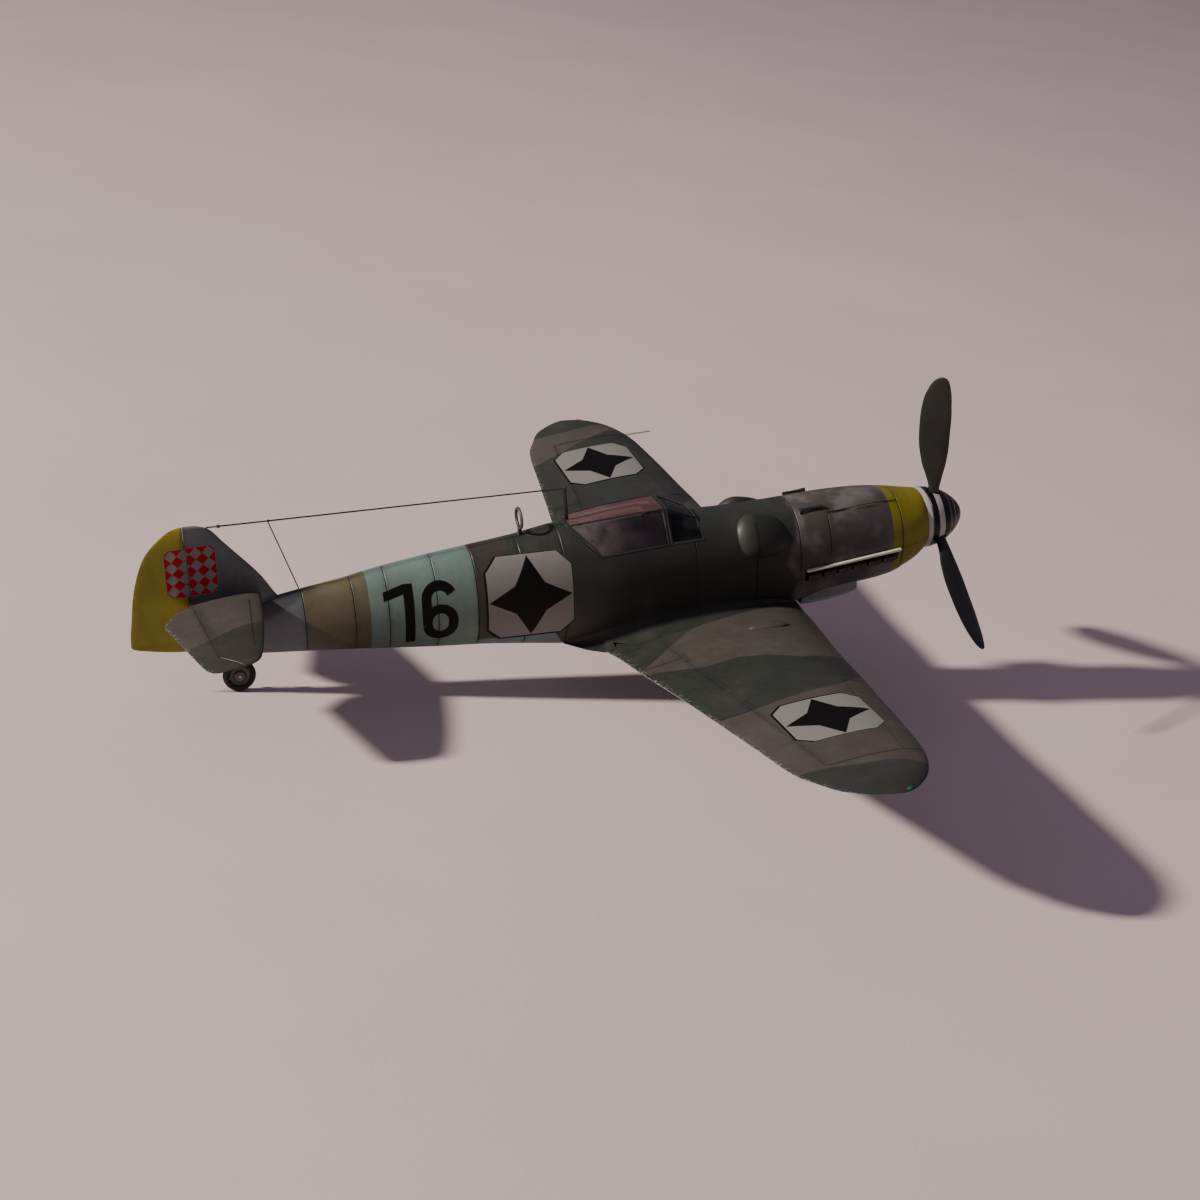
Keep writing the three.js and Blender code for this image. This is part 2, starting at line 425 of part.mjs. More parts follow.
for (const [side, name] of [[1, 'right'], [-1, 'left']]) {
  const ring = (x, y0, y1, zt, zb, inset = 0) => {
    const w = (y1 - y0) / 2 - inset, c = (y0 + y1) / 2;
    return [[-1, 1], [-1, -0.6], [-0.9, -1], [0.9, -1], [1, -0.6], [1, 1]].map(([a, b]) => at(x, side * (c + a * w), b > 0 ? zt : zb + (b + 1) * 60 + inset));
  };
  let body = solid(loft([ring(2960, 700, 1480, -640, -800), ring(3120, 690, 1490, -640, -842), ring(3500, 690, 1490, -640, -838), ring(3900, 720, 1460, -640, -742)]));
  const duct = solid(loft([ring(2900, 700, 1480, -600, -790, 30), ring(3120, 690, 1490, -600, -842, 30), ring(3500, 690, 1490, -600, -838, 30), ring(3960, 720, 1460, -600, -742, 30)]));
  const under = solid(loft([...SPAN.slice().reverse().map(y => -y), ...SPAN].map(y => wingRing(y, false, GAP + 26))));
  body = cut(body, duct.subtract(under), wingLowerKeepOff);
  piece('radiator_' + name, geometryOf(body.decompose().sort((a, b) => b.volume() - a.volume())[0]), 0x8fa3ab, 0.6);
  const core = solid(loft([ring(3200, 690, 1490, -640, -842, 36), ring(3260, 690, 1490, -640, -842, 36)]));
  const under2 = solid(loft([...SPAN.slice().reverse().map(y => -y), ...SPAN].map(y => wingRing(y, false, GAP + 30))));
  piece('radiator_core_' + name, geometryOf(cut(core, under2)), 0x55504a, 0.5, 0.6);
}
// engine air intake on the left cowl
{
  const drum = solid(rod([2010, -500, 40], [2390, -478, 40], 98, 92, 20));
  const mouth = solid(rod([1960, -502, 40], [2130, -496, 40], 76, 70, 20));
  piece('air_intake', geometryOf(cut(drum, mouth, keepOff, blister(-1, GAP)).decompose().sort((a, b) => b.volume() - a.volume())[0]), PAINT, 0.6);
}

// ---- cockpit --------------------------------------------------------------------------------------
{
  const outer = solid(block(3330, 4290, -286, 286, -236, 250));
  const inner = solid(block(3366, 4254, -250, 250, -200, 400));
  piece('cockpit_tub', geometryOf(cut(outer, inner)), 0x4a4f4d, 0.8);
  const pan = solid(prismXZ([[3820, -196], [4130, -196], [4236, 120], [4236, 300], [4196, 300], [4196, 130], [4090, -60], [3850, -40], [3820, -60]], -140, 140));
  const dish = solid(prismXZ([[3856, -60], [4076, -74], [4170, 110], [4230, 400], [4130, 400], [3856, 300]], -112, 112));
  piece('seat', geometryOf(cut(pan, dish)), 0x3c403f, 0.8);
  piece('instrument_panel', prismYZ([[-276, 262], [276, 262], [276, 320], [226, 430], [150, 510], [60, 528], [-60, 528], [-150, 510], [-226, 430], [-276, 320]], 3400, 3436), 0x35393a, 0.75);
  piece('control_stick', geometryOf(join(solid(rod([3700, 0, -196], [3720, 0, 40], 16, 13, 8)), solid(rod([3720, 0, 20], [3712, 0, 84], 22, 20, 8)))), 0x202224, 0.7);
  piece('gun_sight', geometryOf(join(solid(block(3402, 3456, 24, 74, 532, 560)), solid(block(3420, 3432, 28, 70, 554, 592)))), 0x1e1f21, 0.5);
  piece('head_armour', prismYZ([[-110, 262], [110, 262], [118, 480], [86, 560], [-86, 560], [-118, 480]], 4262, 4284), 0x3a3e3d, 0.75);
  // sloping shelf behind the seat, under the rear of the hood
  const r = (x, z, w) => [[-w, 0], [w, 0], [w, 26], [-w, 26]].map(([y, dz]) => at(x - dz * 0.7, y, z + dz * 0.7));
  piece('rear_bulkhead', loft([r(4330, 262, 258), r(4460, 392, 214), r(4530, 462, 150)]), 0x4a4f4d, 0.8);
}

// ---- canopy ---------------------------------------------------------------------------------------
const sillZ = linear(SILL), roofZ = linear(ROOF), railY = linear(RAIL_Y);
function canopyRing(x, offset, sillDrop = 0) {
  // outline from the right sill over the roof to the left sill
  const zs = sillZ(x) + GAP, ys = fuselageSide(x, zs) - 4 - offset;
  const zr = roofZ(x) - offset, yr = railY(x) - offset * 0.85;
  const sx = Math.min(zr, x < 3150 ? 340 + (x - 3124) * 180 / 26 - offset : zr);
  const f = Math.min(1, (sx - zs) / (roofZ(x) - zs));
  const yt = ys + (yr - ys) * Math.max(0, f), zt = Math.max(sx, zs + 8);
  const bulge = 8 * f, pts = [[ys, zs - sillDrop], [ys, zs], [(ys + yt) / 2 + bulge, (zs + zt) / 2 + bulge * 0.4], [yt, zt], [yt * 0.45, zt + 8 * f]];
  return [...pts.map(([y, z]) => at(x, y, z)), ...pts.slice().reverse().map(([y, z]) => at(x, -y, z))];
}
let hoodShell = null;                    // roof of the hood, enlarged by the glue gap, for the mast foot
const glass = { transparent: true, opacity: 0.35 };
// everything the clear mouldings must stay clear of: the skin around the opening
const aroundOpening = keepOff.subtract(solid(prismXZ([[3130, 344], [3537, 349], [4246, 334], [4542, 632], [4542, 950], [3156, 950], [3156, 520]], -600, 600)));
{
  const outer = solid(loft([3128, 3136, 3144, 3152, 3300, 3400, SCREEN_BACK - 2].map(x => canopyRing(x, 0))));
  const inner = solid(loft([3160, 3168, 3186, 3300, 3400, SCREEN_BACK + 60].map(x => canopyRing(x, CANOPY_WALL, 60))));
  const parts = cut(outer, inner, aroundOpening).decompose().sort((a, b) => b.volume() - a.volume());
  piece('windscreen', geometryOf(parts[0]), 0xb7c4c4, 0.1, 0, glass);
  const hoodOuter = solid(loft([SCREEN_BACK + 2, 3700, 3900, 4100, 4260, 4430, 4600].map(x => canopyRing(x, 0))));
  const hoodInner = solid(loft([SCREEN_BACK - 60, 3700, 3900, 4100, 4260, 4430, 4680].map(x => canopyRing(x, CANOPY_WALL, 60))));
  const behind = solid(prismXZ([[4248 - 5, 330 - 60], [4248 - 5, 330], [4548 - 5, 632], [4548 - 5, 950], [4900, 950], [4900, 265]], -600, 600));
  const hood = cut(hoodOuter, hoodInner, behind, aroundOpening).decompose().sort((a, b) => b.volume() - a.volume());
  piece('hood', geometryOf(hood[0]), 0xb7c4c4, 0.1, 0, glass);
  hoodShell = solid(loft([4300, 4430, 4600].map(x => canopyRing(x, -GAP))));
}

// ---- aerials and probes -----------------------------------------------------------------------------
{
  const post = (x, z, c, t) => [[-c, 0], [-c * 0.5, t], [c * 0.4, t * 0.8], [c, 0], [c * 0.4, -t * 0.8], [-c * 0.5, -t]].map(([dx, y]) => at(x + dx, y, z));
  piece('antenna_mast', geometryOf(cut(solid(loft([post(4500, 600, 27, 11), post(4503, 800, 23, 9), post(4503, 1012, 15, 7)])), hoodShell)), 0x6d716c, 0.6);
  const mastX = 4503 + 19, mastZ = 1002, end = [8158, 0, 1172];
  const wireZ = x => mastZ + (end[2] - mastZ) * (x - mastX) / (end[0] - mastX);
  const hex = (x, r) => Array.from({ length: 6 }, (_, i) => at(x, r * Math.cos(i * Math.PI / 3), wireZ(x) + r * Math.sin(i * Math.PI / 3)));
  piece('antenna_wire', loft([hex(mastX, 8), hex(7530, 8), hex(7536, 14), hex(7552, 14), hex(7558, 8), hex(8018, 8), hex(8024, 17), hex(8048, 17), hex(8054, 8), hex(end[0], 8)]), 0x3b3d3e, 0.5);
  piece('antenna_lead_in', rod([7542, 0, wireZ(7542) - 20], [7303, 0, 372], 6.5, 6.5, 6), 0x3b3d3e, 0.5);
  const ring = new THREE.TorusGeometry(104 * SCALE, 17 * SCALE, 6, 18);
  ring.rotateY(Math.PI / 2);
  ring.translate(...at(5000, 0, 752));
  piece('df_loop', geometryOf(cut(join(solid(ring), solid(rod([5000, 0, 540], [5000, 0, 660], 30, 20, 10))), keepOff)), 0x4a4d4a, 0.5, 0.2);
  const py = -4380, px = wingLe(4380), pz = wingRef(4380) - 18;
  piece('pitot_tube', rod([px - 330, py, pz], [px - 5, py, pz], 9, 13, 8), 0xb9bbb8, 0.4, 0.5);
}

// ---- undercarriage ------------------------------------------------------------------------------------
// height of a point at a station so that it stands `model` mm above the floor
const heightFor = (x, above) => (above - GROUND_OFFSET + Math.sin(PITCH) * x * SCALE) / Math.cos(PITCH) / SCALE;
function tyreProfile(R, w, rim) {        // half-round carcass with a flat tread; [radius, across]
  return [[rim, -w * 0.36], [rim + (R - rim) * 0.35, -w * 0.5], [R * 0.93, -w * 0.44], [R * 0.985, -w * 0.3], [R, -w * 0.17],
    [R, w * 0.17], [R * 0.985, w * 0.3], [R * 0.93, w * 0.44], [rim + (R - rim) * 0.35, w * 0.5], [rim, w * 0.36]];
}
function wheelAbout(profile, segments, x, y, z) {   // ring about a crosswise axle with a tread facet facing the floor
  const pts = [...profile, profile[0]].map(([r, s]) => new THREE.Vector2(r * SCALE, s * SCALE));
  const g = new THREE.LatheGeometry(pts, segments);
  // facet centres lie half a step round from +Z; bring one to the floor direction of the parked model
  g.rotateY(Math.PI / segments + PITCH);
  g.translate(...at(x, y, z));
  return g;
}
function disc(profile, segments, x, y, z) {
  const pts = profile.map(([r, s]) => new THREE.Vector2(r * SCALE, s * SCALE));
  const g = new THREE.LatheGeometry(pts, segments);
  g.translate(...at(x, y, z));
  return g;
}
const axleZ = heightFor(AXLE_X, TYRE_R * SCALE * Math.cos(Math.PI / TYRE_SEGMENTS));
for (const [side, name] of [[1, 'right'], [-1, 'left']]) {
  const yLeg = WHEEL_Y - 118, topZ = wingSplit(2300, 560) - 66;
  const leg = join(
    solid(rod([2302, side * 560, topZ], [AXLE_X + 70, side * (yLeg - 150), axleZ + 330], 50, 46, 12)),
    solid(rod([AXLE_X + 80, side * (yLeg - 166), axleZ + 360], [AXLE_X, side * yLeg, axleZ], 32, 32, 10)),
    solid(rod([2236, side * 560, topZ], [2372, side * 560, topZ], 54, 54, 12)),
    solid(rod([AXLE_X, side * (yLeg - 34), axleZ], [AXLE_X, side * (WHEEL_Y + 62), axleZ], 28, 28, 12)),
    solid(rod([AXLE_X, side * (yLeg - 34), axleZ], [AXLE_X, side * (yLeg + 22), axleZ], 52, 52, 12)));
  piece('gear_leg_' + name, geometryOf(leg), 0x8d948f, 0.55);
  piece('tyre_' + name, wheelAbout(tyreProfile(TYRE_R, TYRE_W, 196), TYRE_SEGMENTS, AXLE_X, side * WHEEL_Y, axleZ), 0x232323, 0.9);
  const hub = [[34, -56], [74, -56], [100, -32], [164, -34], [192, -54], [192, 54], [164, 34], [100, 32], [74, 56], [34, 56], [34, -56]];
  piece('wheel_hub_' + name, disc(hub, 18, AXLE_X, side * WHEEL_Y, axleZ), 0x3a3d3c, 0.5, 0.3);
  // leg door, inboard of the leg and parallel to it
  const top = [2302, 560, topZ], bot = [AXLE_X + 20, yLeg - 50, axleZ + 110];
  const along = [bot[0] - top[0], bot[1] - top[1], bot[2] - top[2]];
    const len = Math.hypot(along[1], along[2]), ny = along[2] / len, nz = -along[1] / len;
  const at2 = (t, dx, dn) => at(top[0] + along[0] * t + dx, side * (top[1] + along[1] * t + ny * dn), top[2] + along[2] * t + nz * dn);
  const ring = (t, a, b) => [at2(t, a, 60), at2(t, b, 60), at2(t, b, 84), at2(t, a, 84)];
  piece('gear_door_' + name, loft([ring(0.24, -150, 170), ring(0.7, -170, 190), ring(1, -120, 140)]), 0x8fa3ab, 0.6);
}
{
  const z = heightFor(TAIL_AXLE_X, TAIL_R * SCALE * Math.cos(Math.PI / TAIL_SEGMENTS));
  const strut = join(
    solid(rod([7900, 0, -60], [7946, -4, z + 205], 36, 32, 10)),
    solid(block(7908, 7996, -86, 30, z + 184, z + 216)),
    solid(loft([[7952, z + 214], [TAIL_AXLE_X, z]].map(([x, h], i) => [[-26, 0], [26, 0], [26, 18], [-26, 18]].map(([dx, dy]) => at(x + dx, -62 - dy, h - i * 26))))),
    solid(rod([TAIL_AXLE_X, -80, z], [TAIL_AXLE_X, 50, z], 20, 20, 10)));
  piece('tail_leg', geometryOf(cut(strut, keepOff)), 0x5c605d, 0.6);
  piece('tail_tyre', wheelAbout(tyreProfile(TAIL_R, TAIL_W, 104), TAIL_SEGMENTS, TAIL_AXLE_X, 0, z), 0x232323, 0.9);
  const hub = [[25, -44], [50, -44], [66, -24], [100, -34], [100, 34], [66, 24], [50, 44], [25, 44], [25, -44]];
  piece('tail_hub', disc(hub, 14, TAIL_AXLE_X, 0, z), 0x6f7472, 0.5, 0.3);
}

// ---- stand the model on its wheels ----------------------------------------------------------------
plane.rotation.y = -PITCH;
plane.position.z = GROUND_OFFSET;
root.updateMatrixWorld(true);
const box = new THREE.Box3().setFromObject(plane, true);
root.position.x = -(box.min.x + box.max.x) / 2;
root.updateMatrixWorld(true);

export default root;
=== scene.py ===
"""Looks of the propeller plane model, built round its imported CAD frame."""
import json
import math

import bmesh
import bpy
import numpy as np
from mathutils import Matrix, Vector
from mathutils.bvhtree import BVHTree
from mathutils.geometry import delaunay_2d_cdt


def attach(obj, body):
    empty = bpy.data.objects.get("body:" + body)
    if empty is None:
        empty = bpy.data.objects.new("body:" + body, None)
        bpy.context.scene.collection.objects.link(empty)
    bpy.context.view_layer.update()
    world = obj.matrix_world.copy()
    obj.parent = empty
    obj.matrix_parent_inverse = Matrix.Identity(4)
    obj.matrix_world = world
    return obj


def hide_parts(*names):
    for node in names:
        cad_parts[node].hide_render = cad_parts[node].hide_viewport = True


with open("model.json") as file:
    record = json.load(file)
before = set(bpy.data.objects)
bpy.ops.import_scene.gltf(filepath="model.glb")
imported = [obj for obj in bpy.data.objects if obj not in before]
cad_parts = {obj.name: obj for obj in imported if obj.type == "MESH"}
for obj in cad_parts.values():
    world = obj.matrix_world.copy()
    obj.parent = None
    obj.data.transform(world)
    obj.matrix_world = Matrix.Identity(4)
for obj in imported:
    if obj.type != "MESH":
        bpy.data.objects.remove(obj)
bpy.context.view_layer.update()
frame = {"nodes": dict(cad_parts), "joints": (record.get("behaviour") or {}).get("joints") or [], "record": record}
NODES = frame["nodes"]
JOINTS = {j["name"]: j for j in frame["joints"]}

# ---- the plane frame: station aft of the datum, distance to the right, height, in full-size mm ----
PITCH = math.radians(10)
CP, SP = math.cos(PITCH), math.sin(PITCH)
HUB = Vector(JOINTS["propeller_spin"]["pos_m"]) * 1000
ROOT_X = HUB.x - (CP * -430 / 72 - SP * 36 / 72)
LIFT = HUB.z - (SP * -430 / 72 + CP * 36 / 72)


def to_row(P):
    P = np.asarray(P, float)
    x, y, z = -P[..., 0] / 72, -P[..., 1] / 72, P[..., 2] / 72
    return np.stack([CP * x - SP * z + ROOT_X, y, SP * x + CP * z + LIFT], -1) / 1000


def to_ac(Q):
    Q = np.asarray(Q, float) * 1000
    x, z = Q[..., 0] - ROOT_X, Q[..., 2] - LIFT
    return np.stack([-(CP * x + SP * z) * 72, -Q[..., 1] * 72, (-SP * x + CP * z) * 72], -1)


def turn(v):
    return Vector((CP * v[0] - SP * v[2], v[1], SP * v[0] + CP * v[2]))


def table(points):
    x = np.array([p[0] for p in points], float)
    y = np.array([p[1] for p in points], float)
    h = np.diff(x)
    d = np.diff(y) / h
    m = np.zeros(len(x))
    m[0], m[-1] = d[0], d[-1]
    for i in range(1, len(x) - 1):
        if d[i - 1] * d[i] > 0:
            w1, w2 = 2 * h[i] + h[i - 1], h[i] + 2 * h[i - 1]
            m[i] = (w1 + w2) / (w1 / d[i - 1] + w2 / d[i])

    def f(v):
        v = np.clip(np.asarray(v, float), x[0], x[-1])
        i = np.clip(np.searchsorted(x, v, side="right") - 1, 0, len(x) - 2)
        t = (v - x[i]) / h[i]
        t2, t3 = t * t, t * t * t
        return y[i] * (2 * t3 - 3 * t2 + 1) + h[i] * m[i] * (t3 - 2 * t2 + t) + y[i + 1] * (3 * t2 - 2 * t3) + h[i] * m[i + 1] * (t3 - t2)

    return f


def linear(points):
    x = [p[0] for p in points]
    y = [p[1] for p in points]
    return lambda v: np.interp(v, x, y)


fus_top = table([[612, 366], [700, 382], [745, 390], [1033, 449], [1376, 488], [1717, 499], [2077, 490], [2390, 486], [2790, 489], [3000, 498], [3215, 520], [3700, 566], [4548, 621], [4782, 602], [5070, 567], [5556, 534], [5964, 508], [6454, 460], [6661, 434], [6817, 408], [7300, 361], [7525, 332], [7900, 288], [8388, 238]])
fus_bottom = table([[612, -298], [700, -372], [820, -437], [993, -510], [1224, -537], [1373, -543], [1700, -556], [2034, -630], [2300, -700], [4200, -724], [4336, -716], [4671, -682], [4991, -628], [5489, -550], [5899, -503], [6386, -436], [6775, -380], [7374, -305], [7731, -260], [7900, -234], [8388, -136]])
fus_width = table([[612, 333], [640, 350], [705, 373], [800, 390], [900, 400], [1200, 414], [1600, 422], [2300, 430], [3000, 432], [3600, 430], [4000, 422], [4500, 402], [5000, 372], [5560, 330], [6100, 286], [6670, 236], [7300, 168], [7800, 120], [8388, 60]])
fus_round = linear([[612, 2.0], [1000, 2.15], [1600, 2.3], [2300, 2.4], [3200, 2.6], [4300, 2.4], [4800, 2.15], [6000, 2.05], [8388, 2.0]])
fus_mid = linear([[612, 34], [1200, 10], [2000, -10], [3200, 0], [4400, 0], [6000, 30], [8388, 60]])
wing_le = table([[0, 2020], [430, 2040], [1667, 2168], [2533, 2232], [2869, 2267], [3439, 2315], [3926, 2367], [4098, 2388], [4282, 2425], [4455, 2481], [4597, 2544], [4710, 2613], [4795, 2685], [4876, 2768], [4931, 2851], [4962, 2945]])
wing_te = table([[0, 4335], [430, 4300], [640, 4240], [1300, 4137], [1924, 4028], [2802, 3895], [3508, 3795], [4243, 3682], [4477, 3576], [4708, 3450], [4855, 3285], [4931, 3150], [4962, 3060]])
tail_le = table([[30, 7690], [60, 7694], [1313, 7921], [1440, 7966], [1520, 8040], [1569, 8170], [1606, 8320], [1618, 8380]])
tail_te = linear([[30, 8386], [60, 8388], [194, 8572], [431, 8718], [1417, 8524], [1540, 8494], [1600, 8446], [1618, 8400]])
fin_le = table([[150, 7400], [300, 7480], [354, 7530], [391, 7555], [468, 7598], [581, 7667], [723, 7775], [831, 7865], [938, 7954], [1031, 8030], [1096, 8079], [1150, 8130], [1189, 8206], [1208, 8290], [1213, 8370]])
rudder_te = table([[-122, 8402], [-106, 8541], [-47, 8832], [-2, 8985], [18, 9010], [143, 9002], [308, 8976], [533, 8940], [694, 8898], [838, 8847], [957, 8786], [1043, 8714], [1107, 8638], [1174, 8547], [1204, 8474], [1213, 8410]])
sill_z = linear([[3124, 340], [3537, 345], [4248, 330], [4700, 318]])
roof_z = linear([[3150, 520], [3500, 692], [3700, 690], [4100, 674], [4430, 650], [4700, 634]])
rail_y = linear([[3150, 150], [3505, 190], [4100, 176], [4430, 146], [4700, 130]])
HINGE_X, HUB_Z, SPINNER_R, NOSE_TIP = 8388, 36, 326, 102.8
TAN_D = math.tan(math.radians(5.318))


def wing_ref(y):
    return -706 + TAN_D * np.maximum(np.abs(y), 430)


def wing_thickness(y):
    a = np.abs(y)
    base = 0.142 - 0.032 * np.minimum(1, a / 4600)
    return base * np.where(a > 4450, np.sqrt(np.maximum(0.0009, 1 - (np.maximum(a, 4450) - 4450) ** 2 / 516.0 ** 2)), 1)


def aerofoil(t, u):
    half = 5 * t * (0.2969 * np.sqrt(u) - 0.126 * u - 0.3516 * u * u + 0.2843 * u ** 3 - 0.1015 * u ** 4)
    camber = 0.016 * np.where(u < 0.3, (0.6 * u - u * u) / 0.09, (0.4 + 0.6 * u - u * u) / 0.49)
    return half + 0.0022 * u, camber


def wing_height(x, y, upper):
    a = np.abs(y)
    le = wing_le(a)
    c = wing_te(a) - le
    u = np.clip((x - le) / c, 0, 1)
    h, m = aerofoil(wing_thickness(y), u)
    return wing_ref(y) - 15 * (1 - u) + c * (m + (h if upper else -h))


def fus_side(x, z):
    zt, zb, zm, n = fus_top(x), fus_bottom(x), fus_mid(x), fus_round(x)
    h = np.where(z > zm, (z - zm) / (zt - zm), (zm - z) / (zm - zb))
    return fus_width(x) * (1 - np.minimum(1, np.abs(h)) ** n) ** (1 / n)


def fus_point(x, t, off=0.0):
    """Skin at station x and ring angle t (0 right, 90 degrees top); off pushes it out."""
    zt, zb, zm, w, e = fus_top(x) + off, fus_bottom(x) - off, fus_mid(x), fus_width(x) + off, 2 / fus_round(x)
    c, s = np.cos(t), np.sin(t)
    y = w * np.sign(c) * np.abs(c) ** e
    z = zm + np.where(s > 0, zt - zm, zm - zb) * np.sign(s) * np.abs(s) ** e
    return np.stack([x + 0 * y, y, z], -1)


# ---- mesh helpers ----------------------------------------------------------------------------------
def mesh_object(name, verts, faces, ac=True):
    me = bpy.data.meshes.new(name)
    v = to_row(verts) if ac else np.asarray(verts, float)
    me.from_pydata([tuple(p) for p in v], [], faces)
    bm = bmesh.new()
    bm.from_mesh(me)
    bmesh.ops.remove_doubles(bm, verts=bm.verts, dist=2e-7)
    if bm.calc_volume(signed=True) < 0:
        bmesh.ops.reverse_faces(bm, faces=bm.faces)
    bm.to_mesh(me)
    bm.free()
    ob = bpy.data.objects.new(name, me)
    bpy.context.scene.collection.objects.link(ob)
    return ob


def grid(P, cap=True, centre=None):
    """Rings P[i][j] wrapped in j; returns verts, faces."""
    m, n = P.shape[:2]
    verts = P.reshape(-1, 3)
    faces = []
    for i in range(m - 1):
        a = i * n
        for j in range(n):
            k = (j + 1) % n
            faces.append((a + j, a + k, a + n + k, a + n + j))
    if cap:
        ends = []
        for i in (0, m - 1):
            verts = np.vstack([verts, P[i].mean(0)[None] if centre is None else centre[0 if i == 0 else 1]])
            c = len(verts) - 1
            for j in range(n):
                k = (j + 1) % n
                faces.append((c, i * n + k, i * n + j) if i == 0 else (c, i * n + j, i * n + k))
    return verts, faces


def loft(name, P, **kw):
    v, f = grid(np.asarray(P, float), **kw)
    return mesh_object(name, v, f)


def freeze(ob):
    dg = bpy.context.evaluated_depsgraph_get()
    me = bpy.data.meshes.new_from_object(ob.evaluated_get(dg))
    old = ob.data
    ob.modifiers.clear()
    ob.data = me
    bpy.data.meshes.remove(old)
    return ob


def boolean(ob, tools, op="DIFFERENCE", keep=False):
    for t in tools if isinstance(tools, (list, tuple)) else [tools]:
        m = ob.modifiers.new("b", "BOOLEAN")
        m.operation, m.solver, m.object = op, "MANIFOLD", t
        freeze(ob)
        if not keep:
            bpy.data.objects.remove(t)
    return ob


def largest_piece(ob):
    """Drop the slivers a cut leaves behind."""
    me = ob.data
    n = len(me.vertices)
    e = np.zeros(len(me.edges) * 2, np.int64)
    me.edges.foreach_get("vertices", e)
    e = e.reshape(-1, 2)
    lab = np.arange(n)
    while True:
        old = lab.copy()
        m = np.minimum(lab[e[:, 0]], lab[e[:, 1]])
        np.minimum.at(lab, e[:, 0], m)
        np.minimum.at(lab, e[:, 1], m)
        lab = lab[lab]
        if (lab == old).all():
            break
    ids, counts = np.unique(lab, return_counts=True)
    if len(ids) == 1:
        return ob
    keep = ids[counts.argmax()]
    bm = bmesh.new()
    bm.from_mesh(me)
    bm.verts.ensure_lookup_table()
    bmesh.ops.delete(bm, geom=[bm.verts[i] for i in np.nonzero(lab != keep)[0]], context="VERTS")
    bm.to_mesh(me)
    bm.free()
    return ob


def smooth(ob, angle=32):
    me = ob.data
    me.shade_smooth()
    me.set_sharp_from_angle(angle=math.radians(angle))
    return ob


def prism_xz(name, outline, y0, y1):
    P = np.array([[[x, y, z] for x, z in outline] for y in (y0, y1)], float)
    return loft(name, P)


def tube(name, a, b, r0, r1, n=32, rings=2):
    a, b = np.array(a, float), np.array(b, float)
    d = (b - a) / np.linalg.norm(b - a)
    u = np.cross(d, [0, 0, 1.0] if abs(d[2]) < 0.9 else [1.0, 0, 0])
    u /= np.linalg.norm(u)
    w = np.cross(d, u)
    t = np.arange(n) / n * 2 * math.pi
    P = [a + (b - a) * k + (r0 + (r1 - r0) * k) * (np.cos(t)[:, None] * u + np.sin(t)[:, None] * w) for k in np.linspace(0, 1, rings)]
    return loft(name, np.array(P))


def box_ac(name, x0, x1, y0, y1, z0, z1):
    return prism_xz(name, [(x0, z0), (x1, z0), (x1, z1), (x0, z1)], y0, y1)


def with_lines(base, lines, w=8.0, clear=15.0):
    """Merge panel-line triples into a list of grid stations."""
    lines = sorted(lines)
    keep = [b for b in base if all(abs(b - l) > clear for l in lines)]
    out = keep + [l + d for l in lines for d in (-w, 0.0, w)]
    return np.array(sorted(out))


def remember(ob):
    """Store the plane-frame position of each point, in full-size metres, for the paint."""
    co = np.zeros(len(ob.data.vertices) * 3, np.float32)
    ob.data.vertices.foreach_get("co", co)
    ac = to_ac(co.reshape(-1, 3)) / 1000
    at = ob.data.attributes.new("ac", "FLOAT_VECTOR", "POINT")
    at.data.foreach_set("vector", ac.astype(np.float32).ravel())
    return ac * 1000


def attribute(ob, name, values):
    at = ob.data.attributes.new(name, "FLOAT", "POINT")
    at.data.foreach_set("value", np.asarray(values, np.float32))


def refined(node, bevel=0.05, angle=28, slot=None, material=None, segments=2, name=None):
    """A CAD node whose hard edges get the small radii of an injection moulding."""
    src = NODES[node]
    me = src.data.copy()
    ob = bpy.data.objects.new(name or node + "_moulding", me)
    bpy.context.scene.collection.objects.link(ob)
    bm = bmesh.new()
    bm.from_mesh(me)
    bmesh.ops.remove_doubles(bm, verts=bm.verts, dist=1e-7)
    bmesh.ops.dissolve_limit(bm, angle_limit=math.radians(1.5), verts=bm.verts, edges=bm.edges)
    bm.to_mesh(me)
    bm.free()
    me.materials.clear()
    if bevel:
        m = ob.modifiers.new("bevel", "BEVEL")
        m.width, m.segments, m.limit_method, m.angle_limit = bevel / 1000, segments, "ANGLE", math.radians(angle)
        m.harden_normals = False
        m.use_clamp_overlap = True
        freeze(ob)
    smooth(ob, 40)
    place(ob, node, material=material, slot=slot)
    return ob


BODY_OF = {n: b for b, ns in frame["record"]["behaviour"]["bodies"].items() for n in ns}


def place(ob, *nodes, material=None, slot=None, body=None):
    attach(ob, body or BODY_OF[nodes[0]])
    if nodes:
        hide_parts(*nodes)
    if material is not None:
        ob.data.materials.clear()
        ob.data.materials.append(material)
    return ob


# ---- materials -------------------------------------------------------------------------------------
def srgb(r, g, b):
    def f(c):
        c = c / 255
        return c / 12.92 if c <= 0.04045 else ((c + 0.055) / 1.055) ** 2.4
    return (f(r), f(g), f(b), 1.0)


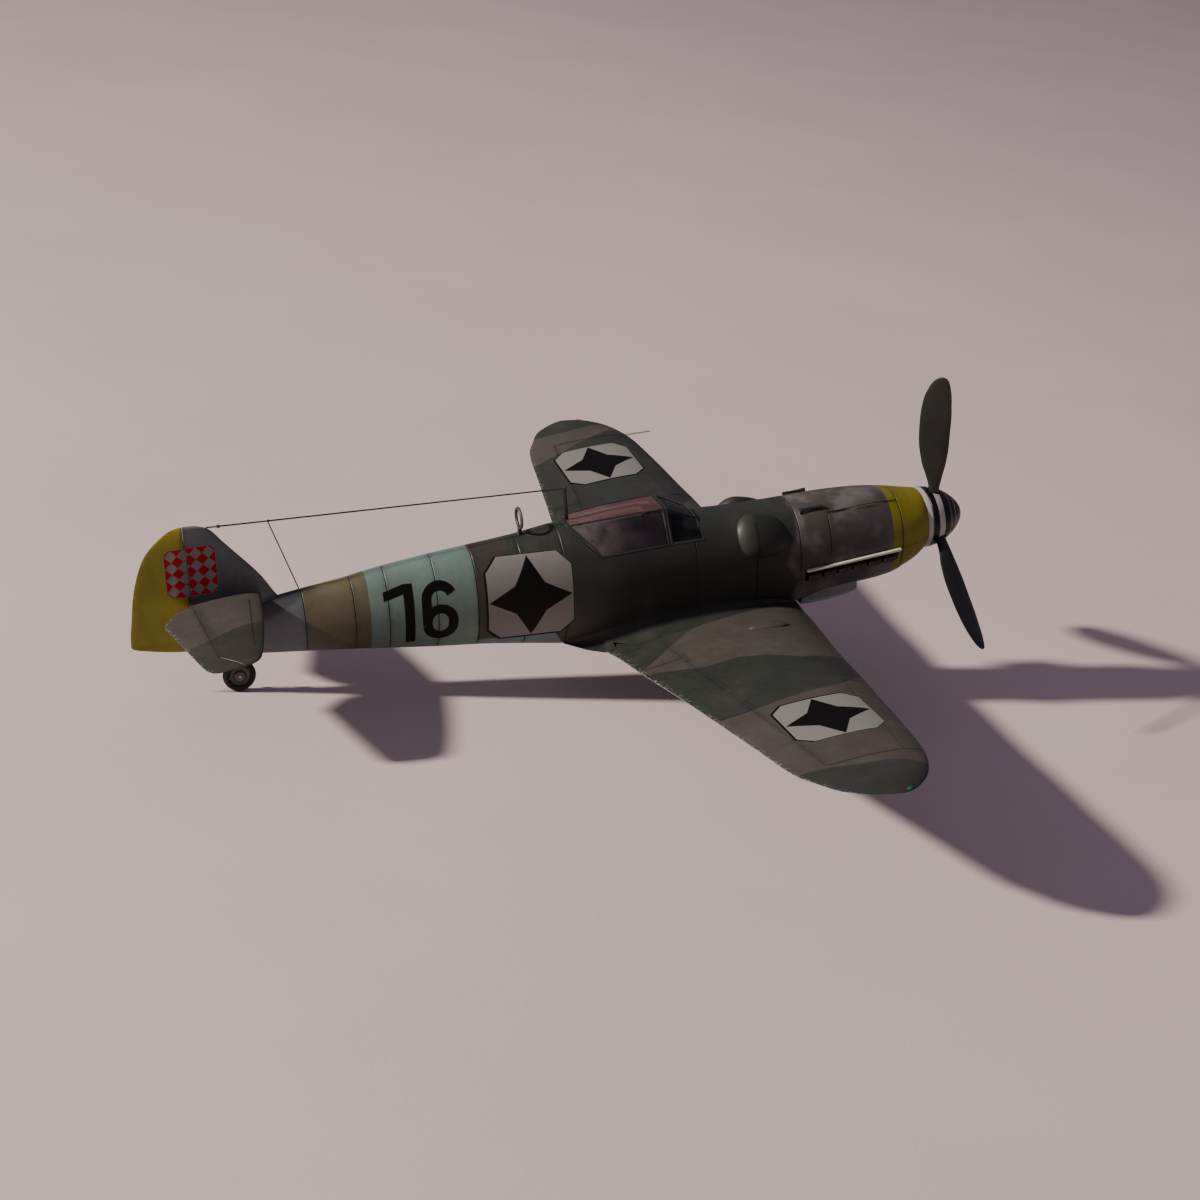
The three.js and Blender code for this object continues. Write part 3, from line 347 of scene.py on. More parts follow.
class Nodes:
    """Short-hand for building one procedural material."""

    def __init__(self, name):
        self.m = bpy.data.materials.new(name)
        self.m.use_nodes = True
        self.t = self.m.node_tree
        self.b = self.t.nodes["Principled BSDF"]
        self.out = self.t.nodes["Material Output"]
        co = self.t.nodes.new("ShaderNodeTexCoord")
        mm = self.t.nodes.new("ShaderNodeVectorMath")
        mm.operation = "SCALE"
        mm.inputs["Scale"].default_value = 1000.0
        self.t.links.new(co.outputs["Object"], mm.inputs[0])
        self.mm = mm.outputs[0]          # row-frame position in model millimetres

    def put(self, socket, v):
        if isinstance(v, bpy.types.NodeSocket):
            self.t.links.new(v, socket)
        elif v is not None:
            socket.default_value = v[:3] if socket.type == "VECTOR" and len(v) > 3 else v

    def math(self, op, a, b=None, clamp=False):
        n = self.t.nodes.new("ShaderNodeMath")
        n.operation, n.use_clamp = op, clamp
        self.put(n.inputs[0], a)
        if b is not None:
            self.put(n.inputs[1], b)
        return n.outputs[0]

    def attr(self, name, out="Fac"):
        n = self.t.nodes.new("ShaderNodeAttribute")
        n.attribute_name = name
        return n.outputs[out]

    def split(self, v):
        n = self.t.nodes.new("ShaderNodeSeparateXYZ")
        self.t.links.new(v, n.inputs[0])
        return n.outputs

    def noise(self, scale, detail=3.0, rough=0.55, vec=None, distortion=0.0):
        n = self.t.nodes.new("ShaderNodeTexNoise")
        self.t.links.new(vec or self.mm, n.inputs["Vector"])
        n.inputs["Scale"].default_value = scale
        n.inputs["Detail"].default_value = detail
        n.inputs["Roughness"].default_value = rough
        n.inputs["Distortion"].default_value = distortion
        return n.outputs["Fac"]

    def stretched(self, x, y, z, vec=None):
        n = self.t.nodes.new("ShaderNodeVectorMath")
        n.operation = "MULTIPLY"
        self.t.links.new(vec or self.mm, n.inputs[0])
        n.inputs[1].default_value = (x, y, z)
        return n.outputs[0]

    def range(self, v, a, b, c=0.0, d=1.0, smoothstep=True):
        n = self.t.nodes.new("ShaderNodeMapRange")
        n.interpolation_type = "SMOOTHSTEP" if smoothstep else "LINEAR"
        n.clamp = True
        self.put(n.inputs["Value"], v)
        for k, x in zip(("From Min", "From Max", "To Min", "To Max"), (a, b, c, d)):
            n.inputs[k].default_value = x
        return n.outputs["Result"]

    def mix(self, fac, a, b, blend="MIX"):
        n = self.t.nodes.new("ShaderNodeMix")
        n.data_type, n.blend_type, n.clamp_factor = "RGBA", blend, True
        self.put(n.inputs[0], fac)
        self.put(n.inputs[6], a)
        self.put(n.inputs[7], b)
        return n.outputs[2]

    def shade(self, colour, value):
        """Multiply a colour by a scalar."""
        n = self.t.nodes.new("ShaderNodeVectorMath")
        n.operation = "SCALE"
        self.put(n.inputs[0], colour)
        self.put(n.inputs["Scale"], value)
        return n.outputs[0]

    def bump(self, height, strength=0.3, distance=0.00002, normal=None):
        n = self.t.nodes.new("ShaderNodeBump")
        n.inputs["Strength"].default_value = strength
        n.inputs["Distance"].default_value = distance
        self.put(n.inputs["Height"], height)
        if normal is not None:
            self.t.links.new(normal, n.inputs["Normal"])
        return n.outputs[0]

    def finish(self, colour=None, rough=None, normal=None, metallic=None, spec=None, coat=None):
        if colour is not None:
            self.put(self.b.inputs["Base Color"], colour)
        if rough is not None:
            self.put(self.b.inputs["Roughness"], rough)
        if normal is not None:
            self.put(self.b.inputs["Normal"], normal)
        if metallic is not None:
            self.b.inputs["Metallic"].default_value = metallic
        if spec is not None:
            self.b.inputs["Specular IOR Level"].default_value = spec
        if coat is not None:
            self.b.inputs["Coat Weight"].default_value = coat
            self.b.inputs["Coat Roughness"].default_value = 0.25
        return self.m


GREEN = srgb(45, 48, 43)        # dark green-grey
VIOLET = srgb(71, 65, 60)     # violet-grey
UNDER = srgb(104, 116, 119)     # pale blue-grey underside
BAND_BLUE = srgb(99, 118, 110)
BAND_TAN = srgb(90, 86, 64)
BAND_OLIVE = srgb(76, 74, 60)
TAIL_GREY = srgb(86, 92, 95)
TAIL_DARK = srgb(64, 67, 68)
FIN_GREY = srgb(94, 101, 101)
YELLOW = srgb(121, 113, 20)
STAB_VIOLET = srgb(67, 62, 58)
STAB_OLIVE = srgb(47, 46, 39)
MARK_WHITE = srgb(120, 119, 115)
MARK_BLACK = srgb(10, 9, 9)


def paint_finish(N, colour, line="line", wear_and_highlight=True, rough=0.5, grain=1.0):
    """Airbrushed enamel over styrene: patchy tone, fine speckle, dark wash in the lines, faint rubbed edges that double
    as a painted highlight on rims the light catches.
    """
    patchy = N.range(N.noise(0.16, 3, 0.6), 0.3, 0.72, 0.9, 1.1)
    mottle = N.range(N.noise(0.85, 4, 0.65), 0.25, 0.8, 0.95, 1.06)
    speck = N.range(N.noise(9.0, 2, 0.7), 0.3, 0.75, 0.955, 1.045)
    tone = N.math("MULTIPLY", N.math("MULTIPLY", patchy, mottle), speck)
    colour = N.shade(colour, tone)
    dust = N.range(N.noise(0.5, 6, 0.75, N.stretched(0.45, 1.2, 1.2)), 0.6, 0.85, 0.0, 0.08)
    colour = N.mix(dust, colour, srgb(104, 100, 94))
    if line:
        wash = N.math("MULTIPLY", N.attr(line), N.range(N.noise(0.6, 3), 0.3, 0.6, 0.68, 1.0))
        colour = N.mix(wash, colour, srgb(12, 11, 12))
        soft = N.math("MULTIPLY", N.attr("halo"), N.range(N.noise(0.45, 3), 0.35, 0.7, 0.1, 0.4))
        colour = N.mix(soft, colour, srgb(30, 28, 28))
    if wear_and_highlight:
        # edge chips: partly rubbed paint, partly a painted highlight on the trailing-edge rims that catch the key light
        wear_and_lit_edges = N.math("MULTIPLY", N.attr("edge"), N.range(N.noise(2.6, 5, 0.7), 0.54, 0.62, 0.0, 0.75))
        colour = N.mix(wear_and_lit_edges, colour, srgb(150, 150, 146))
    r = N.range(N.noise(1.3, 4, 0.6), 0.25, 0.8, rough - 0.08, rough + 0.13)
    h = N.math("ADD", N.math("MULTIPLY", N.noise(5.5, 3, 0.6), 0.7), N.math("MULTIPLY", N.noise(22.0, 2, 0.6), 0.3))
    return N.finish(colour, r, N.bump(h, 0.22 * grain, 0.00002), spec=0.32)


def wobble(N, value, amp, scale=0.5, seed=0.0):
    """Add airbrush raggedness to a signed distance."""
    n = N.noise(scale, 3, 0.5)
    return N.math("ADD", value, N.math("MULTIPLY", N.math("SUBTRACT", n, 0.5), amp))


def mat_fuselage():
    N = Nodes("paint_fuselage")
    x, y, z = N.split(N.attr("ac", "Vector"))
    wx = N.math("ADD", x, N.math("MULTIPLY", N.math("SUBTRACT", N.noise(0.9, 2), 0.5), 0.012))
    cow = N.range(wobble(N, N.attr("d_cowl"), 0.2, 0.3), -0.03, 0.05)
    # cowl: violet-grey with smoky light and dark airbrushed patches
    smoke = N.noise(0.17, 3, 0.5)
    violet = N.mix(N.range(smoke, 0.42, 0.64, 0, 0.75), VIOLET, srgb(108, 105, 104))
    violet = N.mix(N.range(N.noise(0.2, 2, 0.5, N.stretched(1, 1.3, 1.3)), 0.54, 0.68, 0, 0.7), violet, srgb(62, 62, 60))
    green = N.mix(N.range(N.noise(0.13, 3, 0.5, N.stretched(1.2, 1, 0.9)), 0.5, 0.7, 0, 0.45), GREEN, srgb(63, 63, 59))
    colour = N.mix(cow, green, violet)
    colour = N.mix(N.range(wobble(N, N.attr("d_spine"), 0.1), -0.01, 0.02), colour, srgb(54, 50, 47))
    colour = N.mix(N.range(wobble(N, N.attr("d_under"), 0.07, 0.4), -0.02, 0.03), colour, UNDER)
    blue = N.math("MULTIPLY", N.range(wx, 5.553, 5.559), N.range(wx, 6.642, 6.648, 1, 0))
    colour = N.mix(blue, colour, BAND_BLUE)
    tan = N.range(wx, 6.642, 6.648)
    tan_c = N.mix(N.range(wobble(N, N.attr("d_patch"), 0.05), -0.006, 0.012), BAND_TAN, BAND_OLIVE)
    tan_c = N.mix(N.range(wx, 6.78, 6.80, 0.35, 0.0), tan_c, BAND_OLIVE)
    colour = N.mix(tan, colour, tan_c)
    tail_c = N.mix(N.range(wobble(N, N.attr("d_tail"), 0.1, 0.4), -0.03, 0.04), TAIL_GREY, TAIL_DARK)
    colour = N.mix(N.range(wx, 7.288, 7.296), colour, tail_c)
    fin_c = N.mix(N.range(z, 0.35, 1.0), TAIL_DARK, FIN_GREY)
    fin_c = N.mix(N.range(N.noise(0.2, 2), 0.4, 0.65, 0, 0.5), fin_c, srgb(104, 110, 111))
    colour = N.mix(N.range(wobble(N, N.attr("d_fin"), 0.04), -0.01, 0.03), colour, fin_c)
    colour = N.mix(N.range(wx, 1.041, 1.047, 1, 0), colour, YELLOW)
    # exhaust staining behind the stacks
    stain = N.math("MULTIPLY", N.attr("stain"), N.range(N.noise(0.7, 4, 0.6, N.stretched(0.3, 1, 1)), 0.3, 0.7, 0.25, 0.7))
    colour = N.mix(stain, colour, srgb(44, 41, 40))
    return paint_finish(N, colour)


def mat_wing(name="paint_wing", dark=GREEN, light=VIOLET, leading=False):
    N = Nodes(name)
    d = wobble(N, N.attr("camo"), 0.03, 0.8)
    colour = N.mix(N.range(d, -0.008, 0.008), light, dark)
    colour = N.mix(N.range(N.noise(0.12, 2), 0.45, 0.7, 0, 0.22), colour, srgb(82, 77, 73))
    if leading:                                                    # panel line just behind the tailplane's leading edge
        x, y, z = N.split(N.attr("ac", "Vector"))
        a = N.math("ABSOLUTE", y)
        d = N.math("ABSOLUTE", N.math("SUBTRACT", x, N.math("ADD", N.math("MULTIPLY", a, 0.141), 7.8075)))
        on = N.math("MULTIPLY", N.range(a, 0.19, 0.20), N.range(a, 1.22, 1.23, 1, 0))
        colour = N.mix(N.math("MULTIPLY", N.range(d, 0.003, 0.008, 0.85, 0), on), colour, srgb(22, 21, 22))
        colour = N.mix(N.math("MULTIPLY", N.range(d, 0.0, 0.045, 0.22, 0), on), colour, srgb(36, 34, 34))
    return paint_finish(N, colour)


def mat_plain(name, colour, rough=0.5, wear_and_highlight=True, line="line"):
    N = Nodes(name)
    c = N.mix(N.range(N.noise(0.3, 3), 0.4, 0.7, 0, 0.25), colour, tuple(min(1, v * 1.35) for v in colour[:3]) + (1,))
    return paint_finish(N, c, line=line, wear_and_highlight=wear_and_highlight, rough=rough)


def mat_rudder():
    N = Nodes("paint_rudder")
    c = N.mix(N.range(N.noise(0.22, 3), 0.4, 0.7, 0, 0.35), YELLOW, srgb(134, 130, 34))
    return paint_finish(N, c, rough=0.46)


def mat_small(name, colour, rough=0.55, metal=0.0, scale=3.0, contrast=0.16, bump=0.3):
    """Brush-painted small part: uneven coverage, worn high spots, painted shade darkening its hollows."""
    N = Nodes(name)
    v = N.range(N.noise(scale, 4, 0.6), 0.25, 0.75, 1 - contrast, 1 + contrast)
    c = N.shade(colour, v)
    geo = N.t.nodes.new("ShaderNodeNewGeometry")
    edge = N.range(geo.outputs["Pointiness"], 0.53, 0.62, 0.0, 0.5)
    c = N.mix(edge, c, tuple(min(1, q * 2.2 + 0.04) for q in colour[:3]) + (1,))
    # painted shade: hollows and creases (low pointiness) are darkened to about a third of the colour
    hollow_shade = N.range(geo.outputs["Pointiness"], 0.40, 0.48, 0.55, 0.0)
    c = N.mix(hollow_shade, c, tuple(q * 0.35 for q in colour[:3]) + (1,))
    r = N.range(N.noise(scale * 2, 3), 0.3, 0.7, rough - 0.09, rough + 0.12)
    return N.finish(c, r, N.bump(N.noise(scale * 4, 3), bump, 0.00002), metallic=metal)


def mat_spinner():
    N = Nodes("paint_spinner")
    x, y, z = N.split(N.attr("ac", "Vector"))
    xs = N.math("ADD", x, N.math("MULTIPLY", N.math("SUBTRACT", N.noise(0.8, 2), 0.5), 0.008))
    c = MARK_BLACK
    white = srgb(176, 172, 165)
    c = N.mix(N.range(xs, 0.542, 0.547), c, white)
    ring = N.math("MULTIPLY", N.range(xs, 0.398, 0.403), N.range(xs, 0.468, 0.473, 1, 0))
    c = N.mix(ring, c, white)
    for a, b, col in ((0.296, 0.318, srgb(120, 88, 80)), (0.236, 0.246, srgb(150, 146, 140))):
        c = N.mix(N.math("MULTIPLY", N.range(xs, a, a + 0.004), N.range(xs, b, b + 0.004, 1, 0)), c, col)
    return paint_finish(N, c, line="line", wear_and_highlight=False, rough=0.36)


def mat_blade():
    N = Nodes("paint_blade")
    v = N.range(N.noise(0.4, 3), 0.3, 0.7, 0.85, 1.2)
    c = N.shade(srgb(30, 31, 28), v)
    c = N.mix(N.range(N.noise(3.0, 5, 0.7), 0.66, 0.72, 0, 0.25), c, srgb(66, 66, 60))
    return N.finish(c, N.range(N.noise(2.0, 3), 0.3, 0.7, 0.38, 0.52), N.bump(N.noise(8.0, 3), 0.2, 0.00002))


def mat_glass(name="clear_styrene", tint=(0.72, 0.74, 0.72), haze_max=0.05, gloss=(0.9, 0.86, 0.86), roof_reflection_tint=(0.1, 0.1, 0.1), roof_reflection_amount=0.0, mirror=1.15, aft=None):
    N = Nodes(name)
    t = N.t
    t.nodes.remove(N.b)
    tr = t.nodes.new("ShaderNodeBsdfTransparent")
    tr.inputs["Color"].default_value = (*tint, 1)
    gl = t.nodes.new("ShaderNodeBsdfGlossy")
    gl.inputs["Color"].default_value = (*gloss, 1)
    N.put(gl.inputs["Roughness"], N.range(N.noise(1.2, 3), 0.3, 0.8, 0.04, 0.16))
    haze = t.nodes.new("ShaderNodeBsdfDiffuse")
    haze.inputs["Color"].default_value = srgb(150, 140, 136)
    fr = t.nodes.new("ShaderNodeFresnel")
    fr.inputs["IOR"].default_value = 1.55
    nb = N.bump(N.noise(0.9, 2), 0.25, 0.00003)
    t.links.new(nb, gl.inputs["Normal"])
    t.links.new(nb, fr.inputs["Normal"])
    m1 = t.nodes.new("ShaderNodeMixShader")
    hz = N.range(N.noise(0.3, 3, 0.5, N.stretched(0.7, 1.0, 1.3)), 0.42, 0.75, 0.0, haze_max)
    if aft:                                                         # paler cloudy patches, growing towards the rear of the hood
        back = N.range(N.split(N.mm)[0], aft[0], aft[1], aft[2], 0.0)
        hz = N.math("ADD", hz, N.math("MULTIPLY", back, N.range(N.noise(0.5, 3, 0.6, N.stretched(1.0, 1.0, 0.6)), 0.3, 0.7, 0.3, 1.0)), clamp=True)
    N.put(m1.inputs[0], hz)
    t.links.new(tr.outputs[0], m1.inputs[1])
    t.links.new(haze.outputs[0], m1.inputs[2])
    # painted reflection: a reddish-brown diffuse layer on the hood's upward-facing panels stands in for the warm light
    # its roof reflects
    roof = t.nodes.new("ShaderNodeBsdfDiffuse")
    roof.inputs["Color"].default_value = (*roof_reflection_tint, 1)
    geo = t.nodes.new("ShaderNodeNewGeometry")
    up = N.math("ABSOLUTE", N.split(geo.outputs["Normal"])[2])
    m3 = t.nodes.new("ShaderNodeMixShader")
    N.put(m3.inputs[0], N.math("MULTIPLY", N.range(up, 0.8, 0.93), N.range(N.noise(0.35, 2), 0.3, 0.7, roof_reflection_amount * 0.75, roof_reflection_amount)))
    t.links.new(m1.outputs[0], m3.inputs[1])
    t.links.new(roof.outputs[0], m3.inputs[2])
    m2 = t.nodes.new("ShaderNodeMixShader")
    N.put(m2.inputs[0], N.math("MULTIPLY", fr.outputs[0], mirror, clamp=True))
    t.links.new(m3.outputs[0], m2.inputs[1])
    t.links.new(gl.outputs[0], m2.inputs[2])
    t.links.new(m2.outputs[0], N.out.inputs[0])
    return N.m


def mat_film(name, colour, other=None, mask=None):
    """Waterslide film: flat printed ink with a faint silvered speckle."""
    N = Nodes(name)
    v = N.range(N.noise(14.0, 2, 0.7), 0.3, 0.7, 0.9, 1.08)
    c = N.shade(colour, v)
    c = N.mix(N.range(N.noise(1.6, 5, 0.75), 0.62, 0.74, 0, 0.08), c, srgb(120, 120, 118))
    return N.finish(c, N.range(N.noise(2.0, 3), 0.3, 0.7, 0.5, 0.64), N.bump(N.noise(9.0, 3), 0.25, 0.00002), spec=0.14)


def mat_floor():
    N = Nodes("paper_floor")
    v = N.range(N.noise(0.02, 4, 0.55), 0.3, 0.7, 0.97, 1.02)
    v2 = N.range(N.noise(1.5, 3, 0.7), 0.3, 0.7, 0.985, 1.012)
    # painted light: the floor is made up to 20% lighter towards the nose (+x), evening out the fall-off of the key lamp
    painted_light_gradient = N.range(N.split(N.mm)[0], -50, 150, 1.0, 1.2, smoothstep=False)
    c = N.shade(srgb(215, 196, 191), N.math("MULTIPLY", painted_light_gradient, N.math("MULTIPLY", v, v2)))
    return N.finish(c, 0.85, N.bump(N.noise(1.2, 4), 0.15, 0.0001), spec=0.2)


MAT = {
    "fuselage": mat_fuselage(), "wing": mat_wing(), "tailplane": mat_wing("paint_tailplane", STAB_OLIVE, STAB_VIOLET, True),
    # the hood's reddish (0.12, 0.046, 0.036) tint at 0.62 is a painted reflection on its roof panels
    "under": mat_plain("paint_underside", UNDER), "rudder": mat_rudder(), "spinner": mat_spinner(), "blade": mat_blade(), "glass": mat_glass("clear_hood", (0.84, 0.80, 0.78), 0.07, (1.0, 0.9, 0.88), (0.12, 0.046, 0.036), 0.62, 1.15, (1.5, 8.5, 0.34)), "screen": mat_glass("clear_windscreen", (0.42, 0.47, 0.43), 0.06, (0.85, 0.9, 0.86), mirror=0.45),
    "frame": mat_small("paint_canopy_frame", srgb(42, 43, 39), 0.42, 0, 2.0),
    "cream": mat_small("paint_cream", srgb(196, 190, 166), 0.5, 0, 1.2, 0.1),
    "exhaust": mat_small("sooty_brown", srgb(58, 46, 40), 0.75, 0.1, 4.0, 0.3),
    "gun": mat_small("gun_black", srgb(36, 36, 38), 0.4, 0.35, 5.0),
    "cockpit": mat_small("cockpit_grey", srgb(82, 84, 82), 0.75, 0, 2.0),
    "matrix": mat_small("radiator_bronze", srgb(92, 84, 70), 0.5, 0.5, 6.0, 0.3),
    "leg": mat_small("leg_grey", srgb(112, 118, 112), 0.5, 0, 3.0),
    "tyre": mat_small("tyre_black", srgb(24, 23, 22), 0.85, 0, 6.0, 0.2, 0.5),
    "hub": mat_small("hub_grey", srgb(72, 73, 70), 0.45, 0.2, 4.0),
    "wire": mat_small("stretched_sprue", srgb(20, 19, 19), 0.5, 0, 3.0),
    "pitot": mat_small("pitot_silver", srgb(170, 170, 166), 0.4, 0.4, 4.0),
    "mast": mat_small("mast_grey", srgb(46, 47, 43), 0.55, 0, 3.0),
    "dark": mat_small("dark_plastic", srgb(48, 48, 50), 0.55, 0, 3.0),
    "bare": mat_small("bare_styrene", srgb(126, 128, 130), 0.45, 0, 2.0),
    "intake": mat_small("paint_intake", srgb(70, 67, 63), 0.55, 0, 1.5),
    "cooler": mat_small("paint_cooler", srgb(112, 118, 116), 0.55, 0, 1.0),
}


# ---- fuselage --------------------------------------------------------------------------------------
RINGS = [935, 1757, 2100, 2586, 3241, 4640, 5070, 5556, 5964, 6454, 6795, 7290]
RING_SPAN = {935: (-90, 90), 1757: (0, 48), 2100: (-20, 90), 2586: (-60, 60), 3241: (-60, 42), 4640: (-90, 90)}   # degrees from the horizontal; the others go all round
xs = with_lines(np.r_[612, 616, 622, 630, 642, np.arange(660, 8384, 34), 8383.9], RINGS)
tdeg = with_lines(np.arange(0, 360, 2.6), [], 1, 1)
long_lines = [54.0, 126.0]


def ang(t):
    return (t + 180) % 360 - 180


for L in long_lines + [-13.0, 193.0 - 0]:
    t0 = L % 360
    tdeg = np.array([t for t in tdeg if abs(ang(t - t0)) > 2.2])
    tdeg = np.r_[tdeg, (t0 - 1.1) % 360, t0, (t0 + 1.1) % 360]
tdeg = np.sort(tdeg)


def warp(x, td):
    """The cowl-top line drifts up towards the nose, so the ring angles follow it."""
    w = np.interp(x, [700, 941, 1688, 2600], [5.5, 5.5, -4, 0])
    a = ang(td)
    return td + w * np.exp(-((a - 54) / 12) ** 2) - w * np.exp(-((a - 126) / 12) ** 2)


def fuselage_lines(x, td):
    """Depth share (0..1) of the engraved lines at a grid point."""
    a = ang(td)
    a = np.where(a > 90, 180 - a, np.where(a < -90, -180 - a, a))      # fold left onto right
    d = np.zeros_like(a)
    for L in RINGS:
        lo, hi = RING_SPAN.get(L, (-90, 90))
        if abs(x - L) < 0.5:
            d = np.maximum(d, ((a >= lo - 0.1) & (a <= hi + 0.1)) * 1.0)
    if 941 < x < 1757:
        d = np.maximum(d, (np.abs(a - 54) < 0.2) * 1.0)
    if 612 < x < 985:
        d = np.maximum(d, (np.abs(a + 13) < 0.2) * 1.0)
    return d


P, LD = [], []
for x in xs:
    d = fuselage_lines(x, tdeg)
    t = np.radians(warp(x, tdeg))
    P.append(fus_point(x, t, 0.0) if not d.any() else np.stack([fus_point(x, tt, -6.5 * dd) for tt, dd in zip(t, d)]))
    LD.append(d)
body = loft("fuselage_skin", np.array(P))

# wing-root fairings: a concave fillet that runs aft of the trailing edge
def fairing(side):
    rings = []
    for x in np.r_[np.linspace(2090, 2400, 10), np.linspace(2440, 4240, 40), np.linspace(4260, 4640, 18)]:
        r = float(np.interp(x, [2090, 2300, 3000, 3800, 4240, 4450, 4640], [6, 80, 180, 280, 320, 200, 8]))
        h = r * 0.95
        xw = min(x, 4270)
        zs = float(wing_height(xw, 470, True)) + (x - xw) * 0.07
        y0 = float(fus_side(x, zs))
        zA = zs + h
        yA = float(fus_side(x, zA))
        yB = y0 + r
        zB = (float(wing_height(min(x, 4290), yB, True)) if x < 4290 else zs - 4) + 1.2
        k = np.linspace(0, 1, 12)[:, None]
        A, B, C = np.array([yA - 3, zA]), np.array([yB, zB]), np.array([y0 + r * 0.04, zs + 3])
        curve = (1 - k) ** 2 * A + 2 * k * (1 - k) * C + k * k * B
        pts = np.vstack([curve, [yB - 4, zB - 14], [y0 - 60, zs - 24], [yA - 70, zA]])
        rings.append(np.stack([np.full(len(pts), x), side * pts[:, 0], pts[:, 1]], -1))
    return loft("fairing", np.array(rings))


boolean(body, [fairing(1), fairing(-1)], "UNION")

# fin, moulded with the fuselage
FIN_Z = np.r_[150, np.linspace(200, 1090, 40), np.linspace(1105, 1204, 12), 1207.5, 1209.5]
FIN_U = np.r_[0, 0.01, 0.025, 0.05, 0.09, 0.15, 0.22, 0.3, 0.4, 0.5, 0.6, 0.7, 0.8, 0.9, 1.0]
FIN_F = table([[0, 0.10], [0.01, 0.28], [0.04, 0.5], [0.14, 0.78], [0.4, 1.0], [1.0, 0.92]])


def fin_half(z):
    return 50 - 24 * np.clip(z / 1200, 0, 1)


rings = []
for z in FIN_Z:
    x0, x1 = float(fin_le(z)), HINGE_X - 3
    hx = fin_half(z) * (1 if z < 1200 else 0.8 if z < 1209 else 0.5)
    f = FIN_F(FIN_U)
    right = np.stack([x0 + (x1 - x0) * FIN_U, hx * f, np.full(len(FIN_U), z)], -1)
    left = right[::-1] * [1, -1, 1]
    rings.append(np.vstack([right, left]))
boolean(body, loft("fin", np.array(rings)), "UNION")


def ellipsoid(name, centre, radii, rx=0.0, rz=0.0, n=56, m=36, front=0):
    th = np.linspace(0.02, math.pi - 0.02, m)
    ph = np.arange(n) / n * 2 * math.pi
    P = np.stack([np.cos(th)[:, None] + 0 * ph[None], np.sin(th)[:, None] * np.cos(ph)[None], np.sin(th)[:, None] * np.sin(ph)[None]], -1) * radii
    if front:
        P[..., 0] = np.where(P[..., 0] < 0, P[..., 0] * front / radii[0], P[..., 0])
    droop = 0.12 if front else 0.0
    c, s = math.cos(rx), math.sin(rx)
    P = np.stack([P[..., 0], c * P[..., 1] - s * P[..., 2], s * P[..., 1] + c * P[..., 2]], -1)
    P[..., 2] += droop * np.minimum(P[..., 0], 0)
    c, s = math.cos(rz), math.sin(rz)
    P = np.stack([c * P[..., 0] - s * P[..., 1], s * P[..., 0] + c * P[..., 1], P[..., 2]], -1)
    return loft(name, P + np.array(centre))


for side in (1, -1):
    boolean(body, ellipsoid("blister", (2578, side * 318, 280), (218, 134, 238), rx=side * 0.5, n=72, m=48, front=420), "UNION")

skin_points = np.array([v.co for v in body.data.vertices])
tools = []
cav_x = np.r_[745, np.linspace(800, 4500, 60), np.linspace(4600, 7000, 24)]
tools.append(loft("cavity", np.array([fus_point(x, np.radians(np.arange(0, 360, 7.5)), -72.0) for x in cav_x])))
tools.append(prism_xz("cockpit", [(3124, 340), (3537, 345), (4248, 330), (4548, 632), (4548, 950), (3150, 950), (3150, 520)], -600, 600))


def exhaust_z(x):
    return -122 - (x - 1003) * 0.064


for side in (1, -1):
    tools.append(prism_xz("recess", [(985, exhaust_z(985) + 2), (2046, exhaust_z(2046) + 2), (2046, exhaust_z(2046) - 104), (985, exhaust_z(985) - 104)], side * 346, side * 600))
    tools.append(tube("trough", (1776, side * 244, 458), (2046, side * 244, 442), 12, 46, 32))
tools.append(tube("shaft_hole", (590, 0, HUB_Z), (800, 0, HUB_Z), 134, 134, 48))
boolean(body, tools)
boolean(body, box_ac("belly_cut", 1800, 4180, -900, 900, -1100, -604), keep=False)

# ---- wings -----------------------------------------------------------------------------------------
hinge_line = linear([[0, 3790], [1192, 3695], [2756, 3524], [4248, 3371], [5000, 3300]])
Y_LINES = [1206.0, 2530.0, 2750.0, 4235.0]


def slat_line(a):
    return wing_le(a) + 0.16 * (wing_te(a) - wing_le(a))


SEG = [(0, 1)]
LEAD = 0.5 * (1 - np.cos(np.linspace(0, math.pi / 2, 13)))          # 0..0.5, fine at the nose
LEAD = LEAD / LEAD[-1]


def chord_stations(a):
    """Stations down the chord at span a, with the slat and hinge lines as grid triples; returns x and line flags."""
    le, te = float(wing_le(a)), float(wing_te(a))
    c = te - le
    w = 7.0 * min(1, c / 1200)
    s, h = float(slat_line(a)), float(hinge_line(a))
    if a > 4300:                                                   # inside the tip the lines fade into plain stations
        s, h = le + 0.16 * c, le + 0.75 * c
    x = np.concatenate([le + (s - w - le) * LEAD, [s, s + w], np.linspace(s + w, h - w, 20)[1:-1], [h - w, h, h + w], np.linspace(h + w, te, 8)[1:]])
    slat = np.zeros(len(x)); hinge = np.zeros(len(x))
    slat[len(LEAD)] = 1.0
    hinge[len(LEAD) + 2 + 18 + 1] = 1.0
    return x, slat, hinge


SPAN_BASE = np.r_[430, np.arange(470, 4440, 42), np.linspace(4450, 4860, 16), 4885, 4905, 4920, 4932, 4942, 4949, 4954, 4957.4]
SPAN = with_lines(SPAN_BASE, Y_LINES, 7.0, 13.0)


def wing_flags(a, x, slat, hinge):
    f = np.zeros(len(x))
    if 2530 <= a <= 4235:
        f = np.maximum(f, slat)
    if 300 <= a <= 4235:
        f = np.maximum(f, hinge)
    h, s = float(hinge_line(a)), float(slat_line(a))
    if abs(a - 1206) < 0.5 or abs(a - 2750) < 0.5:
        f = np.maximum(f, (x >= h - 1) * 1.0)
    if abs(a - 2530) < 0.5:
        f = np.maximum(f, (x <= s + 1) * 1.0)
    if abs(a - 4235) < 0.5:
        f = np.maximum(f, (x <= h + 1) * 1.0)
    return f


